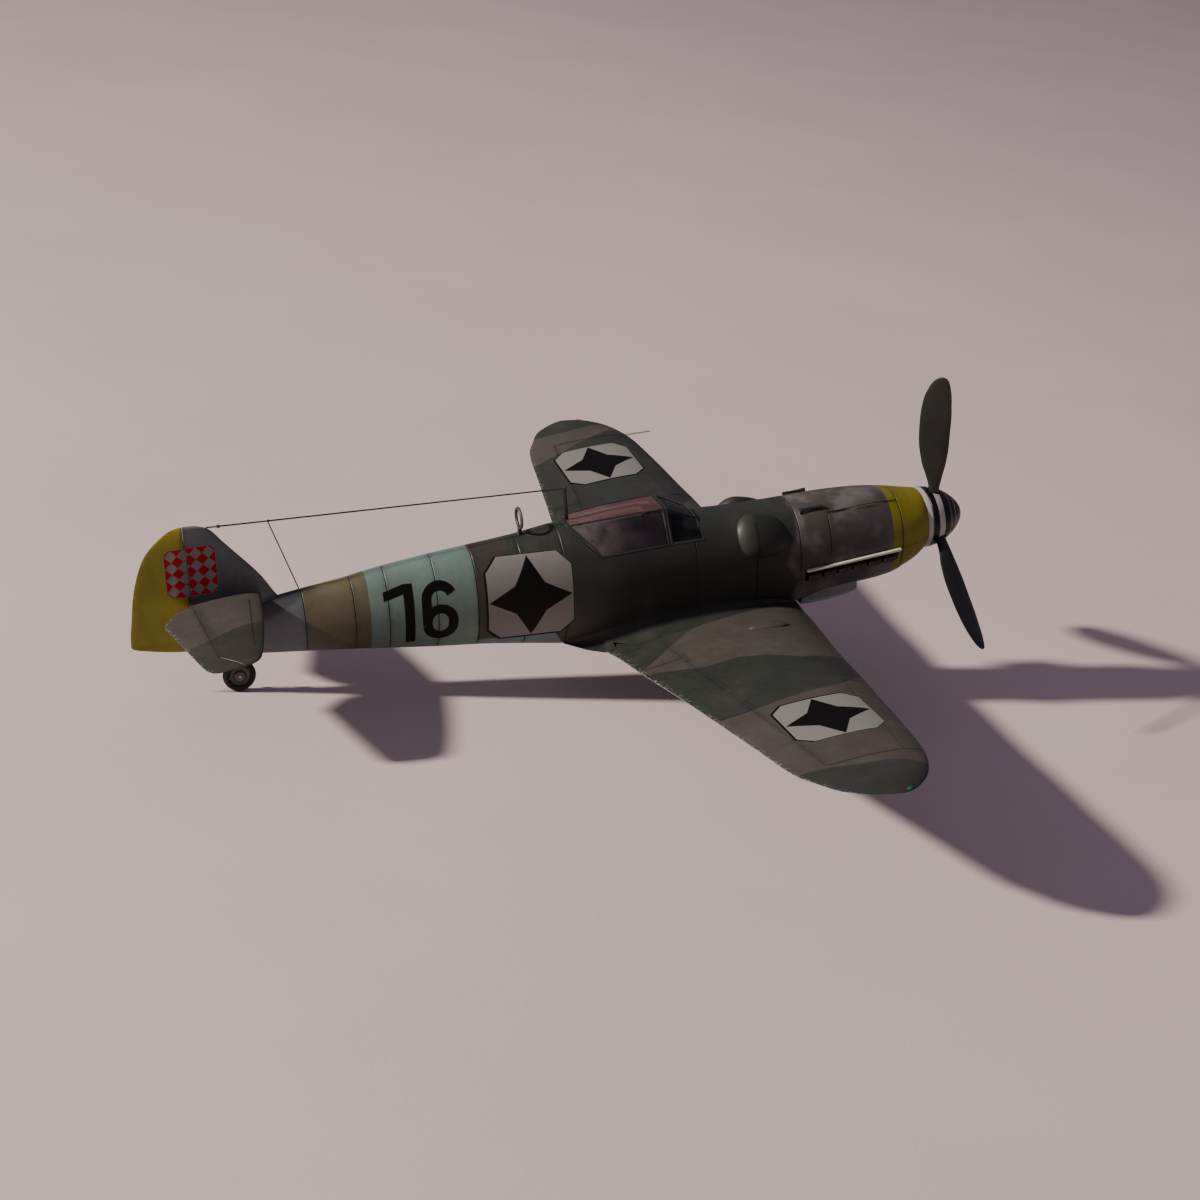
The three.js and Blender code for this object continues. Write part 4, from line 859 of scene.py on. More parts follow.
def wing_rings(ys, upper, offset=0.0, gap=0.4):
    rings = []
    s = 1 if upper else -1
    for y in ys:
        a = abs(y)
        x, slat, hinge = chord_stations(max(a, 140))
        le, te = x[0], x[-1]
        dep = 5.5 * wing_flags(a, x, slat, hinge)
        skin_z = wing_height(x, y, upper) + s * (offset - dep)
        c = te - le
        u = (x - le) / c
        split = wing_ref(y) - 15 * (1 - u) + c * aerofoil(0.1, u)[1]
        skin_z = np.where(u < 1e-6, split + s * (1.2 + offset), skin_z)
        xo = x.copy()
        xo[0] -= offset
        xo[-1] += offset
        skin = np.stack([xo, np.full(len(x), y), skin_z], -1)
        flat = np.stack([xo, np.full(len(x), y), split + s * (gap - offset)], -1)[::-1]
        rings.append(np.vstack([skin, flat]))
    return np.array(rings)


fus_off = loft("keep_off", np.array([fus_point(x, np.radians(np.arange(0, 360, 4.0)), 1.0) for x in np.r_[612, np.arange(700, 8384, 60), 8384]]))
lower = loft("wing_lower_skin", wing_rings(np.r_[-SPAN[::-1], SPAN], False))
wells = []
for side in (1, -1):
    wells.append(tube("well", (2560, side * 1420, -1200), (2560, side * 1420, -300), 352, 352, 72))
    wells.append(box_ac("leg_well", 2218, 2390, side * 490, side * 1440, -1200, -300))
boolean(lower, wells)
cut = loft("cut", np.array([fus_point(x, np.radians(np.arange(0, 360, 5.0)), -3.0) for x in np.r_[612, np.arange(700, 8384, 120), 8384]]))
slab = box_ac("slab", 400, 9200, -900, 900, -575, 900)
boolean(cut, slab, "INTERSECT")
boolean(lower, cut)

uppers = {}
for side, nm in ((1, "right"), (-1, "left")):
    ys = np.r_[140, 260, 380, SPAN]
    up = loft("wing_upper_%s_skin" % nm, wing_rings(side * ys, True))
    boolean(up, ellipsoid("bump", (2676, side * 955, float(wing_height(2676, 955, True)) - 4), (205, 66, 40), rz=-side * 0.1), "UNION")
    boolean(up, fus_off, keep=True)
    uppers[nm] = up

# belly of the fuselage stays clear of the lower wing
wing_clear = loft("wing_clear", wing_rings(np.r_[-SPAN[::-1], SPAN][::4], False, offset=2.0, gap=0.0))
boolean(body, wing_clear)
largest_piece(body)

# ---- tail surfaces ---------------------------------------------------------------------------------
tails = {}
TAIL_Y = with_lines(np.r_[20, 60, np.arange(100, 1300, 40), np.linspace(1310, 1590, 22), 1598, 1604, 1609, 1613, 1616, 1617.5], [], 5, 10)
tail_hinge = linear([[0, 8386], [1309, 8331], [1600, 8200], [1618, 8300]])


def tail_ring(y):
    a = abs(y)
    x0, x1 = float(tail_le(a)), float(tail_te(a))
    c = x1 - x0
    t = 0.088 * (math.sqrt(max(0.0016, 1 - ((a - 1300) / 320) ** 2)) if a > 1300 else 1) * (1000 / c if a < 431 else 1)
    h = float(np.interp(a, [60, 1330, 1560, 1618], [8386, 8334, 8130, 8290]))
    h = min(max(h, x0 + 0.06 * c), x1 - 0.06 * c)
    w = 6 * min(1, c / 500)
    x = np.concatenate([x0 + (h - w - x0) * np.r_[0, 0.005, 0.015, 0.035, 0.07, 0.12, 0.2, 0.3, 0.42, 0.55, 0.7, 0.85, 1.0], [h, h + w], np.linspace(h + w, x1, 7)[1:]])
    u = np.clip((x - x0) / c, 0, 1)
    hs = c * aerofoil(t, u)[0] + np.where(u == 0, 1.5, 2.0)
    f = np.zeros(len(x))
    if a > 40 and a < 1590:
        f[13] = 1.0
    hs = hs - 5.0 * f
    up = np.stack([x, np.full(len(x), y), 386 + hs], -1)
    dn = np.stack([x, np.full(len(x), y), 386 - hs], -1)[::-1]
    return np.vstack([up, dn])


for side, nm in ((1, "right"), (-1, "left")):
    tp = loft("tailplane_%s_skin" % nm, np.array([tail_ring(side * y) for y in TAIL_Y]))
    boolean(tp, box_ac("root_gap", 8386, 9100, -68, 68, -300, 1400))
    boolean(tp, fus_off, keep=True)
    tails[nm] = tp
bpy.data.objects.remove(fus_off)

RZ = np.r_[-119, -114, -106, -95, np.linspace(-80, 1150, 60), 1165, 1180, 1192, 1200, 1205, 1208]
RU = np.r_[0, 0.006, 0.02, 0.05, 0.1, 0.18, 0.28, 0.4, 0.52, 0.65, 0.78, 0.9, 0.965, 1.0]
RF = table([[0, 0.62], [0.02, 0.86], [0.08, 0.94], [0.4, 0.68], [0.8, 0.32], [0.965, 0.17], [1.0, 0.10]])
rings = []
for z in RZ:
    x0, x1 = HINGE_X + 4, float(rudder_te(z)) - 0.6
    h = (fin_half(max(0, z)) + 2) * min(1, 0.55 + (x1 - x0) / 500) * (1 if -106 < z < 1200 else 0.75)
    right = np.stack([x0 + (x1 - x0) * RU, h * RF(RU), np.full(len(RU), z)], -1)
    rings.append(np.vstack([right, right[::-1] * [1, -1, 1]]))
rudder = loft("rudder_skin", np.array(rings))

# ---- propeller and spinner -------------------------------------------------------------------------
def lathe_x(name, profile, n=96, z=HUB_Z):
    """Solid of revolution about the thrust line; profile of (station, radius), ends on the axis or closed."""
    pr = np.array(profile, float)
    t = np.arange(n) / n * 2 * math.pi
    closed = pr[0, 1] > 1 or pr[-1, 1] > 1
    P = np.stack([pr[:, 0][:, None] + 0 * t, pr[:, 1][:, None] * np.sin(t), z + pr[:, 1][:, None] * np.cos(t)], -1)
    if closed:
        m = len(pr)
        verts = P.reshape(-1, 3)
        faces = [(i * n + j, i * n + (j + 1) % n, ((i + 1) % m) * n + (j + 1) % n, ((i + 1) % m) * n + j) for i in range(m) for j in range(n)]
        return mesh_object(name, verts, faces)
    return loft(name, P)


def spinner_r(x, off=0.0):
    t = np.clip((x - NOSE_TIP - off) / (560 - NOSE_TIP - off), 0, 1)
    return (SPINNER_R - off) * np.sin(t * math.pi / 2) ** 0.55


tt = np.linspace(0, 1, 44) ** 1.9
outer = [(NOSE_TIP + 458 * t, float(spinner_r(NOSE_TIP + 458 * t))) for t in tt]
outer = [(x, r) for x, r in outer if abs(x - 541) > 9]
outer += [(536, float(spinner_r(536))), (541, float(spinner_r(541)) - 5), (546, float(spinner_r(546)))]
outer = sorted(outer)
outer += [(580, SPINNER_R), (600, SPINNER_R), (604, SPINNER_R - 4), (604, SPINNER_R - 46)]
inner = [(x, max(0.0, float(spinner_r(x)) - 46)) for x in (556, 500, 440, 380, 320, 260, 220)] + [(190, 0)]
spinner = lathe_x("spinner_skin", outer + inner)
BLADE_A = math.radians(7.4)


def blade_dir(k):
    a = BLADE_A + k * 2 * math.pi / 3
    return math.sin(a), math.cos(a)


for k in range(3):
    sy, cz = blade_dir(k)
    boolean(spinner, tube("blade_hole", (430, sy * 90, HUB_Z + cz * 90), (430, sy * 600, HUB_Z + cz * 600), 74, 74, 40))

chord = table([[150, 112], [330, 116], [470, 170], [650, 262], [900, 322], [1150, 330], [1380, 296], [1540, 216], [1620, 130], [1640, 80], [1648, 30]])
thick = table([[150, 112], [330, 106], [470, 88], [650, 64], [900, 48], [1150, 40], [1380, 34], [1540, 28], [1620, 22], [1648, 12]])
pitch = table([[150, 66], [470, 64], [650, 62], [900, 60], [1150, 58], [1400, 56], [1656, 55]])
sweep = table([[150, 0], [330, 0], [650, -25], [1000, -42], [1300, -40], [1540, -20], [1656, 0]])
prop = lathe_x("propeller_blades", [(330, 0), (330, 160), (338, 168), (548, 168), (556, 160), (556, 0)], 64)
for k in range(3):
    sy, cz = blade_dir(k)
    rings = []
    for r in np.r_[150, 250, 326, np.linspace(360, 1500, 48), np.linspace(1515, 1620, 14), 1629, 1636, 1641, 1645, 1647.5]:
        c, t, b = float(chord(r)), float(thick(r)), math.radians(float(pitch(r)))
        a = (np.arange(36) + 0.5) / 36 * 2 * math.pi
        k2 = float(np.interp(r, [330, 480], [0, 0.25]))
        flat = float(np.interp(r, [330, 520], [1.0, 0.8]))
        along = np.sign(np.cos(a)) * np.abs(np.cos(a)) ** flat * c / 2 + float(sweep(r))
        across = np.sin(a) * t / 2 * (1 + k2 * np.cos(a))
        fx = -along * math.sin(b) - across * math.cos(b)
        ty = along * math.cos(b) - across * math.sin(b)
        rings.append(np.stack([430 + fx, sy * r + cz * ty, HUB_Z + cz * r - sy * ty], -1))
    boolean(prop, loft("blade", np.array(rings)), "UNION")
boolean(prop, tube("bore", (470, 0, HUB_Z), (700, 0, HUB_Z), 64, 64, 40))


# ---- wheels ----------------------------------------------------------------------------------------
def wheel_ring(name, profile, joint, n=96):
    """Closed profile of (radius, across) in full-size mm turned about a wheel's axle."""
    c = Vector(JOINTS[joint]["pos_m"])
    pr = np.array(profile, float) / 72000
    t = np.arange(n) / n * 2 * math.pi
    m = len(pr)
    P = np.stack([c.x + pr[:, 0][:, None] * np.cos(t), c.y + pr[:, 1][:, None] + 0 * t, c.z + pr[:, 0][:, None] * np.sin(t)], -1)
    faces = [(i * n + j, i * n + (j + 1) % n, ((i + 1) % m) * n + (j + 1) % n, ((i + 1) % m) * n + j) for i in range(m) for j in range(n)]
    return mesh_object(name, P.reshape(-1, 3), faces, ac=False)


def tyre_profile(R, w, rim, grooves=2):
    """Round carcass with a raised rim bead and two fine tread grooves."""
    out = []
    for a in np.linspace(-78, 78, 27):
        s = math.sin(math.radians(a))
        r = rim + (R - rim) * max(0.0, math.cos(math.radians(a))) ** 0.55
        out.append([r, s * w / 2])
    g = []
    for r, s in out:
        d = 2.5 if abs(abs(s) - w * 0.16) < w * 0.025 else 0.0
        g.append([r - d, s])
    inner = [[rim + 2, w * 0.40], [rim, w * 0.36], [rim, -w * 0.36], [rim + 2, -w * 0.40]]
    return g + inner


wheel_objs = []
for nm, jt, R, W, rim in (("tyre_right", "main_wheel_right_spin", 326.6, 160, 196), ("tyre_left", "main_wheel_left_spin", 326.6, 160, 196), ("tail_tyre", "tail_wheel_spin", 167.4, 104, 104)):
    wheel_objs.append((wheel_ring(nm + "_tread", tyre_profile(R, W, rim), jt), nm, "tyre"))
for nm, jt in (("wheel_hub_right", "main_wheel_right_spin"), ("wheel_hub_left", "main_wheel_left_spin")):
    hub = [[34, -56], [70, -57], [76, -53], [82, -44], [92, -33], [104, -31], [158, -33], [166, -36], [180, -52], [190, -55], [192.5, -52], [192.5, 52], [190, 55], [180, 52], [166, 36], [158, 33], [104, 31], [92, 33], [82, 44], [76, 53], [70, 57], [34, 56]]
    o = wheel_ring(nm + "_disc", hub, jt, 96)
    c = to_ac(np.array(JOINTS[jt]["pos_m"]))
    holes = []
    for i in range(8):
        a = i / 8 * 2 * math.pi
        holes.append(tube("h", (c[0] + 132 * math.cos(a), c[1] - 80, c[2] + 132 * math.sin(a)), (c[0] + 132 * math.cos(a), c[1] + 80, c[2] + 132 * math.sin(a)), 17, 17, 20))
    boolean(o, holes)
    wheel_objs.append((o, nm, "hub"))
hub = [[25, -44], [46, -45], [51, -42], [58, -32], [68, -24], [92, -31], [99, -34], [100.5, -31], [100.5, 31], [99, 34], [92, 31], [68, 24], [58, 32], [51, 42], [46, 45], [25, 44]]
wheel_objs.append((wheel_ring("tail_hub_disc", hub, "tail_wheel_spin", 72), "tail_hub", "hub"))

# ---- paint fields on the finished skins --------------------------------------------------------------
def tri(d, w):
    return np.clip(1 - np.abs(d) / w, 0, 1)


ac = remember(body)
X, Y, Z = ac.T
A = np.abs(Y)
zt, zb = fus_top(X), fus_bottom(X)
on_skin = (Z < zt + 6)
line = np.zeros(len(X))
halo = np.zeros(len(X))
for L in RINGS:
    lo, hi = {935: (-900, 900), 1757: (-30, 345), 2100: (-170, 900), 2586: (-470, 440), 3241: (-440, 345), 4640: (-900, 900)}.get(L, (-900, 900))
    ok = (Z >= lo) & (Z <= hi) & on_skin
    line = np.maximum(line, tri(X - L, 8.2) * ok)
    halo = np.maximum(halo, np.exp(-((X - L) / 34) ** 2) * ok)
zl = np.interp(X, [941, 1688, 1757], [379, 396, 398])
ok = (X > 935) & (X < 1757) & (A > 60)
line = np.maximum(line, np.clip(1.4 - np.abs(Z - zl) / 7, 0, 1) * ok)
body_bvh = None
attribute(body, "line", line)
attribute(body, "halo", np.maximum(halo, 1.6 * np.exp(-((X - HINGE_X) / 18) ** 2) * (Z > zb - 20)))
attribute(body, "d_cowl", (np.interp(Z, [-600, -250, -100, 50, 280, 500], [2150, 2180, 2250, 2260, 2120, 2100]) - X) / 1000)
attribute(body, "d_spine", np.minimum(X - (5180 + (530 - Z) * 0.7), Z - 60) / 1000)
on_fillet = (X > 2080) & (X < 4680) & (A > 372)
attribute(body, "d_under", np.where((X < 5600) & ~on_fillet, np.interp(X, [612, 1300, 2000, 2100, 4300, 4640, 4780, 5050, 5556], [-330, -420, -560, -640, -700, -660, -390, -385, -430]) - Z, -300) / 1000)
attribute(body, "d_patch", (np.interp(X, [6640, 6915, 7109, 7290], [-330, -218, -64, 80]) - Z) / 1000)
attribute(body, "d_tail", (Z - np.interp(X, [7290, 7550, 7900, 8388], [300, 190, 90, 60])) / 1000)
attribute(body, "d_fin", np.where(X > 7400, Z - zt - 25, -300) / 1000)
ze = exhaust_z(X) - 60
attribute(body, "stain", np.exp(-((Z - ze) / np.interp(X, [1000, 3400], [70, 170])) ** 2) * np.interp(X, [1000, 2030, 2120, 3500], [0.0, 0.5, 0.9, 0]) * (A > 100))
attribute(body, "edge", np.clip(1 - np.abs(X - fin_le(np.clip(Z, 150, 1213))) / 26, 0, 1) * (Z > 420) + 0.0)
smooth(body)
place(body, "fuselage_right", "fuselage_left", material=MAT["fuselage"])

B1 = ([2152, 2635, 3120, 3440, 3612, 4110], [300, 433, 520, 640, 791, 1205])
B2 = ([2259, 2663, 2936, 3219, 3609, 4094], [1866, 1841, 1650, 1545, 1550, 1314])
B3 = ([2205, 2619, 3302, 3524, 3897], [2380, 2629, 2713, 2756, 2746])
B4 = ([2524, 2843, 3107, 3373, 3652], [4509, 4385, 4362, 4278, 4243])
B1L = ([2152, 2635, 3120, 3612, 4110], [1250, 1020, 760, 560, 470])
B2L = ([2259, 2663, 3219, 3609, 4094], [2450, 2080, 1800, 1700, 1640])
B3L = ([2205, 2619, 3302, 3897], [4560, 4400, 4060, 3780])
B4L = ([2524, 2843, 3107, 3652], [4640, 4600, 4540, 4560])


def bands(x, a, curves):
    inside = np.ones(len(x))
    near = np.full(len(x), 1e9)
    for c in curves:
        d = a - np.interp(x, *c)
        near = np.minimum(near, np.abs(d))
        inside = np.where(d > 0, -inside, inside)
    return inside * near


def wing_fields(ob, upper):
    ac = remember(ob)
    x, y, z = ac.T
    a = np.abs(y)
    right = y > 0
    camo = np.where(right, bands(x, a, (B1, B2, B3, B4)), bands(x, a, (B1L, B2L, B3L, B4L)))
    attribute(ob, "camo", camo / 1000)
    h, s = hinge_line(a), slat_line(a)
    top = z > wing_ref(y) - 15 * (1 - (x - wing_le(a)) / (wing_te(a) - wing_le(a))) + (8 if upper else -1e9)
    line = tri(x - h, 8) * ((a > 300) & (a < 4236))
    halo = np.exp(-((x - h) / 30) ** 2) * ((a > 300) & (a < 4236))
    sl = ((a > 2529) & (a < 4236))
    line = np.maximum(line, 0.85 * tri(x - s, 8) * sl)
    for L, ok in ((1206, x >= h - 4), (2750, x >= h - 4), (2530, x <= s + 4), (4235, x <= h + 4)):
        line = np.maximum(line, tri(a - L, 8) * ok)
        halo = np.maximum(halo, np.exp(-((a - L) / 30) ** 2) * ok)
    attribute(ob, "line", line * (top if upper else 1))
    attribute(ob, "halo", halo * (top if upper else 1))
    le, te = wing_le(a), wing_te(a)
    attribute(ob, "edge", np.clip(1 - (te - x) / 22, 0, 1) + np.clip(1 - (x - le) / 10, 0, 1) * 0.5)


wing_fields(lower, False)
smooth(lower)
place(lower, "wing_lower", material=MAT["under"])
for nm, up in uppers.items():
    wing_fields(up, True)
    smooth(up)
    place(up, "wing_upper_" + nm, material=MAT["wing"])
for nm, tp in tails.items():
    ac = remember(tp)
    x, y, z = ac.T
    a = np.abs(y)
    yb = np.interp(x, [7828, 7901, 8129, 8365, 8597], [690, 715, 805, 952, 1022])
    attribute(tp, "camo", (a - yb if nm == "right" else (a - 560 - (x - 8100) * 0.5) * -1) / 1000)
    h = np.interp(a, [60, 1330, 1560, 1618], [8386, 8334, 8130, 8290])
    l2 = np.interp(a, [195, 1223], [7835, 7980])
    up_side = z > 386
    attribute(tp, "line", tri(x - h, 8) * (a > 40) * (a < 1590))
    attribute(tp, "halo", np.exp(-((x - h) / 24) ** 2))
    attribute(tp, "edge", np.clip(1 - (tail_te(a) - x) / 16, 0, 1) + np.clip(1 - (x - tail_le(a)) / 8, 0, 1) * 0.5 + np.clip(1 - (1618 - a) / 10, 0, 1))
    smooth(tp)
    place(tp, "tailplane_" + nm, material=MAT["tailplane"])
ac = remember(rudder)
attribute(rudder, "line", np.zeros(len(ac)))
attribute(rudder, "halo", np.exp(-((ac[:, 0] - HINGE_X) / 22) ** 2) * 1.6)
# painted highlight: the lighter chips along the rudder's trailing edge stand in for the rim the light catches
attribute(rudder, "edge", np.clip(1 - (rudder_te(ac[:, 2]) - ac[:, 0]) / 26, 0, 1))
smooth(rudder, 40)
place(rudder, "rudder", material=MAT["rudder"])
ac = remember(spinner)
attribute(spinner, "line", tri(ac[:, 0] - 541, 6))
attribute(spinner, "halo", np.exp(-((ac[:, 0] - 541) / 20) ** 2))
smooth(spinner, 40)
place(spinner, "spinner", material=MAT["spinner"])
smooth(prop, 40)
place(prop, "propeller", material=MAT["blade"])
for ob, node, mt in wheel_objs:
    smooth(ob, 35)
    place(ob, node, material=MAT[mt])

# ---- canopy ------------------------------------------------------------------------------------------
def canopy_section(x, k, out=0.0):
    """Point on the outside of the clear moulding at station x, k = 0 right sill .. 1 left sill."""
    zs = float(sill_z(x)) + 4
    ys = float(fus_side(x, zs)) - 4
    zr, yr = float(roof_z(x)), float(rail_y(x))
    pts = [(ys, zs), ((ys + yr) / 2 + 8, (zs + zr) / 2 + 3.2), (yr, zr), (yr * 0.45, zr + 8), (-yr * 0.45, zr + 8), (-yr, zr), (-(ys + yr) / 2 - 8, (zs + zr) / 2 + 3.2), (-ys, zs)]
    ks = [0, 0.18, 0.36, 0.44, 0.56, 0.64, 0.82, 1]
    return np.interp(k, ks, [p[0] for p in pts]), np.interp(k, ks, [p[1] for p in pts])


def hood_surface(v, k):
    x_end = 4240.0
    for _ in range(12):
        y, z = canopy_section(x_end, k)
        x_end = 4243 + (z - 334) * 300 / 302
    x = 3516 + v * (x_end - 3516)
    y, z = canopy_section(x, k)
    return np.array([x, y, z])


def screen_surface(v, k):
    y0, z0 = canopy_section(3152, k)
    x0 = 3130 + 24 * min(1, max(0, (z0 - 344) / 170))
    x = x0 + v * (3506 - x0)
    y, z = canopy_section(max(x, 3152), k)
    return np.array([x, y, z])


def frames(name, surf, vs, ks, mask, lift=3.0, thick_=7.0, body_="airframe"):
    G = np.array([[surf(v, k) for k in ks] for v in vs])
    dv = np.gradient(G, axis=0)
    dk = np.gradient(G, axis=1)
    n = np.cross(dv, dk)
    n /= np.linalg.norm(n, axis=-1, keepdims=True)
    c = G.mean((0, 1))
    n *= np.sign((n * (G - c)).sum(-1, keepdims=True).mean())
    T = G + n * lift
    m = len(ks)
    faces = [(i * m + j, i * m + j + 1, (i + 1) * m + j + 1, (i + 1) * m + j) for i in range(len(vs) - 1) for j in range(m - 1) if mask((vs[i] + vs[i + 1]) / 2, (ks[j] + ks[j + 1]) / 2)]
    me = bpy.data.meshes.new(name)
    me.from_pydata([tuple(p) for p in to_row(T.reshape(-1, 3))], [], faces)
    bm = bmesh.new()
    bm.from_mesh(me)
    bmesh.ops.delete(bm, geom=[v for v in bm.verts if not v.link_faces], context="VERTS")
    bmesh.ops.recalc_face_normals(bm, faces=bm.faces)
    bm.to_mesh(me)
    bm.free()
    ob = bpy.data.objects.new(name, me)
    bpy.context.scene.collection.objects.link(ob)
    s = ob.modifiers.new("s", "SOLIDIFY")
    s.thickness, s.offset = thick_ / 72000, 0.0
    freeze(ob)
    b = ob.modifiers.new("b", "BEVEL")
    b.width, b.segments, b.limit_method, b.angle_limit = 1.6 / 72000, 2, "ANGLE", math.radians(50)
    freeze(ob)
    return smooth(ob, 40)


RAIL = 0.36
def near_rail(k, w):
    return abs(k - RAIL) < w or abs(k - (1 - RAIL)) < w


kv = np.unique(np.round(np.r_[0, 0.018, np.linspace(0.018, RAIL - 0.0078, 9), RAIL - 0.0078, RAIL, RAIL + 0.005, np.linspace(RAIL + 0.005, 0.5, 6)], 5))
kv = np.unique(np.round(np.r_[kv, 1 - kv], 5))
hv = np.unique(np.round(np.r_[0, 0.024, np.linspace(0.024, 0.965, 14), 0.965, 1.0], 5))
hood_frames = frames("hood_frames", hood_surface, hv, kv, lambda v, k: v < 0.024 or v > 0.965 or k < 0.018 or k > 0.982 or (near_rail(k, 0.008)))
sv = np.unique(np.round(np.r_[0, 0.04, np.linspace(0.04, 0.93, 8), 0.93, 1.0], 5))
kw = np.unique(np.round(np.r_[0, 0.028, np.linspace(0.028, RAIL - 0.018, 7), RAIL - 0.018, RAIL, RAIL + 0.012, np.linspace(RAIL + 0.012, 0.5, 5)], 5))
kw = np.unique(np.round(np.r_[kw, 1 - kw], 5))
screen_frames = frames("windscreen_frames", screen_surface, sv, kw, lambda v, k: v < 0.04 or v > 0.93 or k < 0.028 or k > 0.972 or near_rail(k, 0.0185))
for ob in (hood_frames, screen_frames):
    place(ob, material=MAT["frame"], slot="upper_paint", body="airframe")
for n, mt in (("hood", "glass"), ("windscreen", "screen")):
    NODES[n].data.materials.clear()
    NODES[n].data.materials.append(MAT[mt])

# ---- markings: thin films laid on the skins -------------------------------------------------------------
def on_fuselage(side):
    def f(p):
        x, z = p[:, 0], p[:, 1]
        zc = np.clip(z, fus_mid(x) - 0.985 * (fus_mid(x) - fus_bottom(x)), fus_mid(x) + 0.985 * (fus_top(x) - fus_mid(x)))
        return np.stack([x, side * fus_side(x, zc), zc], -1)
    return f


def on_wing(side):
    return lambda p: np.stack([p[:, 0], side * p[:, 1], wing_height(p[:, 0], p[:, 1], True)], -1)


def on_fin(side):
    def f(p):
        x, z = p[:, 0], p[:, 1]
        x0 = fin_le(np.clip(z, 150, 1213))
        yf = fin_half(z) * FIN_F(np.clip((x - x0) / (HINGE_X - 3 - x0), 0, 1))
        x1 = rudder_te(z)
        h = (fin_half(z) + 2) * np.minimum(1, 0.55 + (x1 - HINGE_X - 4) / 500)
        yr = h * RF(np.clip((x - HINGE_X - 4) / (x1 - HINGE_X - 4), 0, 1))
        t = np.clip((x - (HINGE_X - 18)) / 40, 0, 1)
        return np.stack([x, side * ((1 - t) * yf + t * yr), z], -1)
    return f


def film(name, polys, surf, lift, material, slot="upper_paint", spacing=26.0):
    """Union of 2-D outlines, triangulated finely and laid on a surface as a closed film."""
    pts, faces2 = [], []
    for poly in polys:
        q = []
        n = len(poly)
        for i in range(n):
            a, b = np.array(poly[i], float), np.array(poly[(i + 1) % n], float)
            m = max(1, int(np.linalg.norm(b - a) / spacing))
            q += [a + (b - a) * k / m for k in range(m)]
        faces2.append(list(range(len(pts), len(pts) + len(q))))
        pts += q
    lo, hi = np.min(pts, 0), np.max(pts, 0)
    gx, gy = np.meshgrid(np.arange(lo[0] + 7, hi[0], spacing), np.arange(lo[1] + 5, hi[1], spacing * 0.9))
    gx[1::2] += spacing / 2
    extra = np.stack([gx.ravel(), gy.ravel()], -1)
    allp = [Vector(p) for p in pts] + [Vector(p) for p in extra]
    v, e, f, *_ = delaunay_2d_cdt(allp, [], faces2, 1, 0.01)
    mid = np.array([np.mean([v[i] for i in t], 0) for t in f])
    inside = np.zeros(len(mid), bool)
    for poly in polys:
        q = np.array(poly, float)
        r = np.roll(q, -1, 0)
        cross = (q[:, 1][None] > mid[:, 1:]) != (r[:, 1][None] > mid[:, 1:])
        at_x = q[:, 0] + (mid[:, 1:] - q[:, 1]) * (r[:, 0] - q[:, 0]) / np.where(r[:, 1] == q[:, 1], 1e-9, r[:, 1] - q[:, 1])
        inside |= (cross & (mid[:, :1] < at_x)).sum(1) % 2 == 1
    f = [t for t, k in zip(f, inside) if k]
    used = sorted({i for t in f for i in t})
    new = {i: k for k, i in enumerate(used)}
    p = np.array([v[i] for i in used], float)
    tris = [[new[i] for i in t] for t in f]
    S0 = surf(p)
    e1 = surf(p + [3.0, 0]) - surf(p - [3.0, 0])
    e2 = surf(p + [0, 3.0]) - surf(p - [0, 3.0])
    n = np.cross(e1, e2)
    n /= np.linalg.norm(n, axis=-1, keepdims=True) + 1e-12
    ref = np.sign(S0[:, 1:2]) * np.array([[0, 1, 0]]) if abs(n[:, 1]).mean() > abs(n[:, 2]).mean() else np.array([[0, 0, 1.0]])
    n *= np.sign((n * ref).sum(-1, keepdims=True))
    top, bot = S0 + n * lift, S0 + n * (lift - 0.7)
    N0 = len(p)
    count = {}
    for t in tris:
        for i in range(3):
            count[(t[i], t[(i + 1) % 3])] = 1
    walls = [(a, b, b + N0, a + N0) for (a, b) in count if (b, a) not in count]
    fs = [tuple(t) for t in tris] + [tuple(i + N0 for i in t[::-1]) for t in tris] + [w[::-1] for w in walls]
    me = bpy.data.meshes.new(name)
    me.from_pydata([tuple(q) for q in to_row(np.vstack([top, bot]))], [], fs)
    bm = bmesh.new()
    bm.from_mesh(me)
    if bm.calc_volume(signed=True) < 0:
        bmesh.ops.reverse_faces(bm, faces=bm.faces)
    bm.to_mesh(me)
    bm.free()
    ob = bpy.data.objects.new(name, me)
    bpy.context.scene.collection.objects.link(ob)
    smooth(ob, 40)
    place(ob, material=material, slot=slot, body="airframe")
    return ob


MAT["ink_white"] = mat_film("ink_pale_grey", MARK_WHITE)
MAT["ink_black"] = mat_film("ink_black", MARK_BLACK)
MAT["ink_red"] = mat_film("ink_red", srgb(150, 12, 22))


def octagon(c, a, k=0.3):
    q = a * (1 - k)
    return [(c[0] + x, c[1] + y) for x, y in ((-q, -a), (q, -a), (a, -q), (a, q), (q, a), (-q, a), (-a, q), (-a, -q))]


def star(c, a, w=0.27, turn_=0.0):
    out = []
    for i in range(8):
        r = a if i % 2 == 0 else a * w * math.sqrt(2)
        t = math.radians(45 * i + turn_)
        out.append((c[0] + r * math.cos(t), c[1] + r * math.sin(t)))
    return out


def badge(tag, c, a, surf, turn_=0.0):
    film("mark_%s_border" % tag, [octagon((c[0] + 8, c[1] - 8), a + 14)], surf, 1.0, MAT["ink_black"])
    film("mark_%s_plate" % tag, [octagon(c, a)], surf, 2.2, MAT["ink_white"])
    film("mark_%s_star" % tag, [star(c, a * 0.97, 0.36, turn_)], surf, 3.4, MAT["ink_black"])


for side, tag in ((1, "right"), (-1, "left")):
    badge("side_" + tag, (5015, 20), 440, on_fuselage(side))
badge("wing_right", (2977, 3280), 440, on_wing(1))
badge("wing_left", (3036, 3567), 440, on_wing(-1))


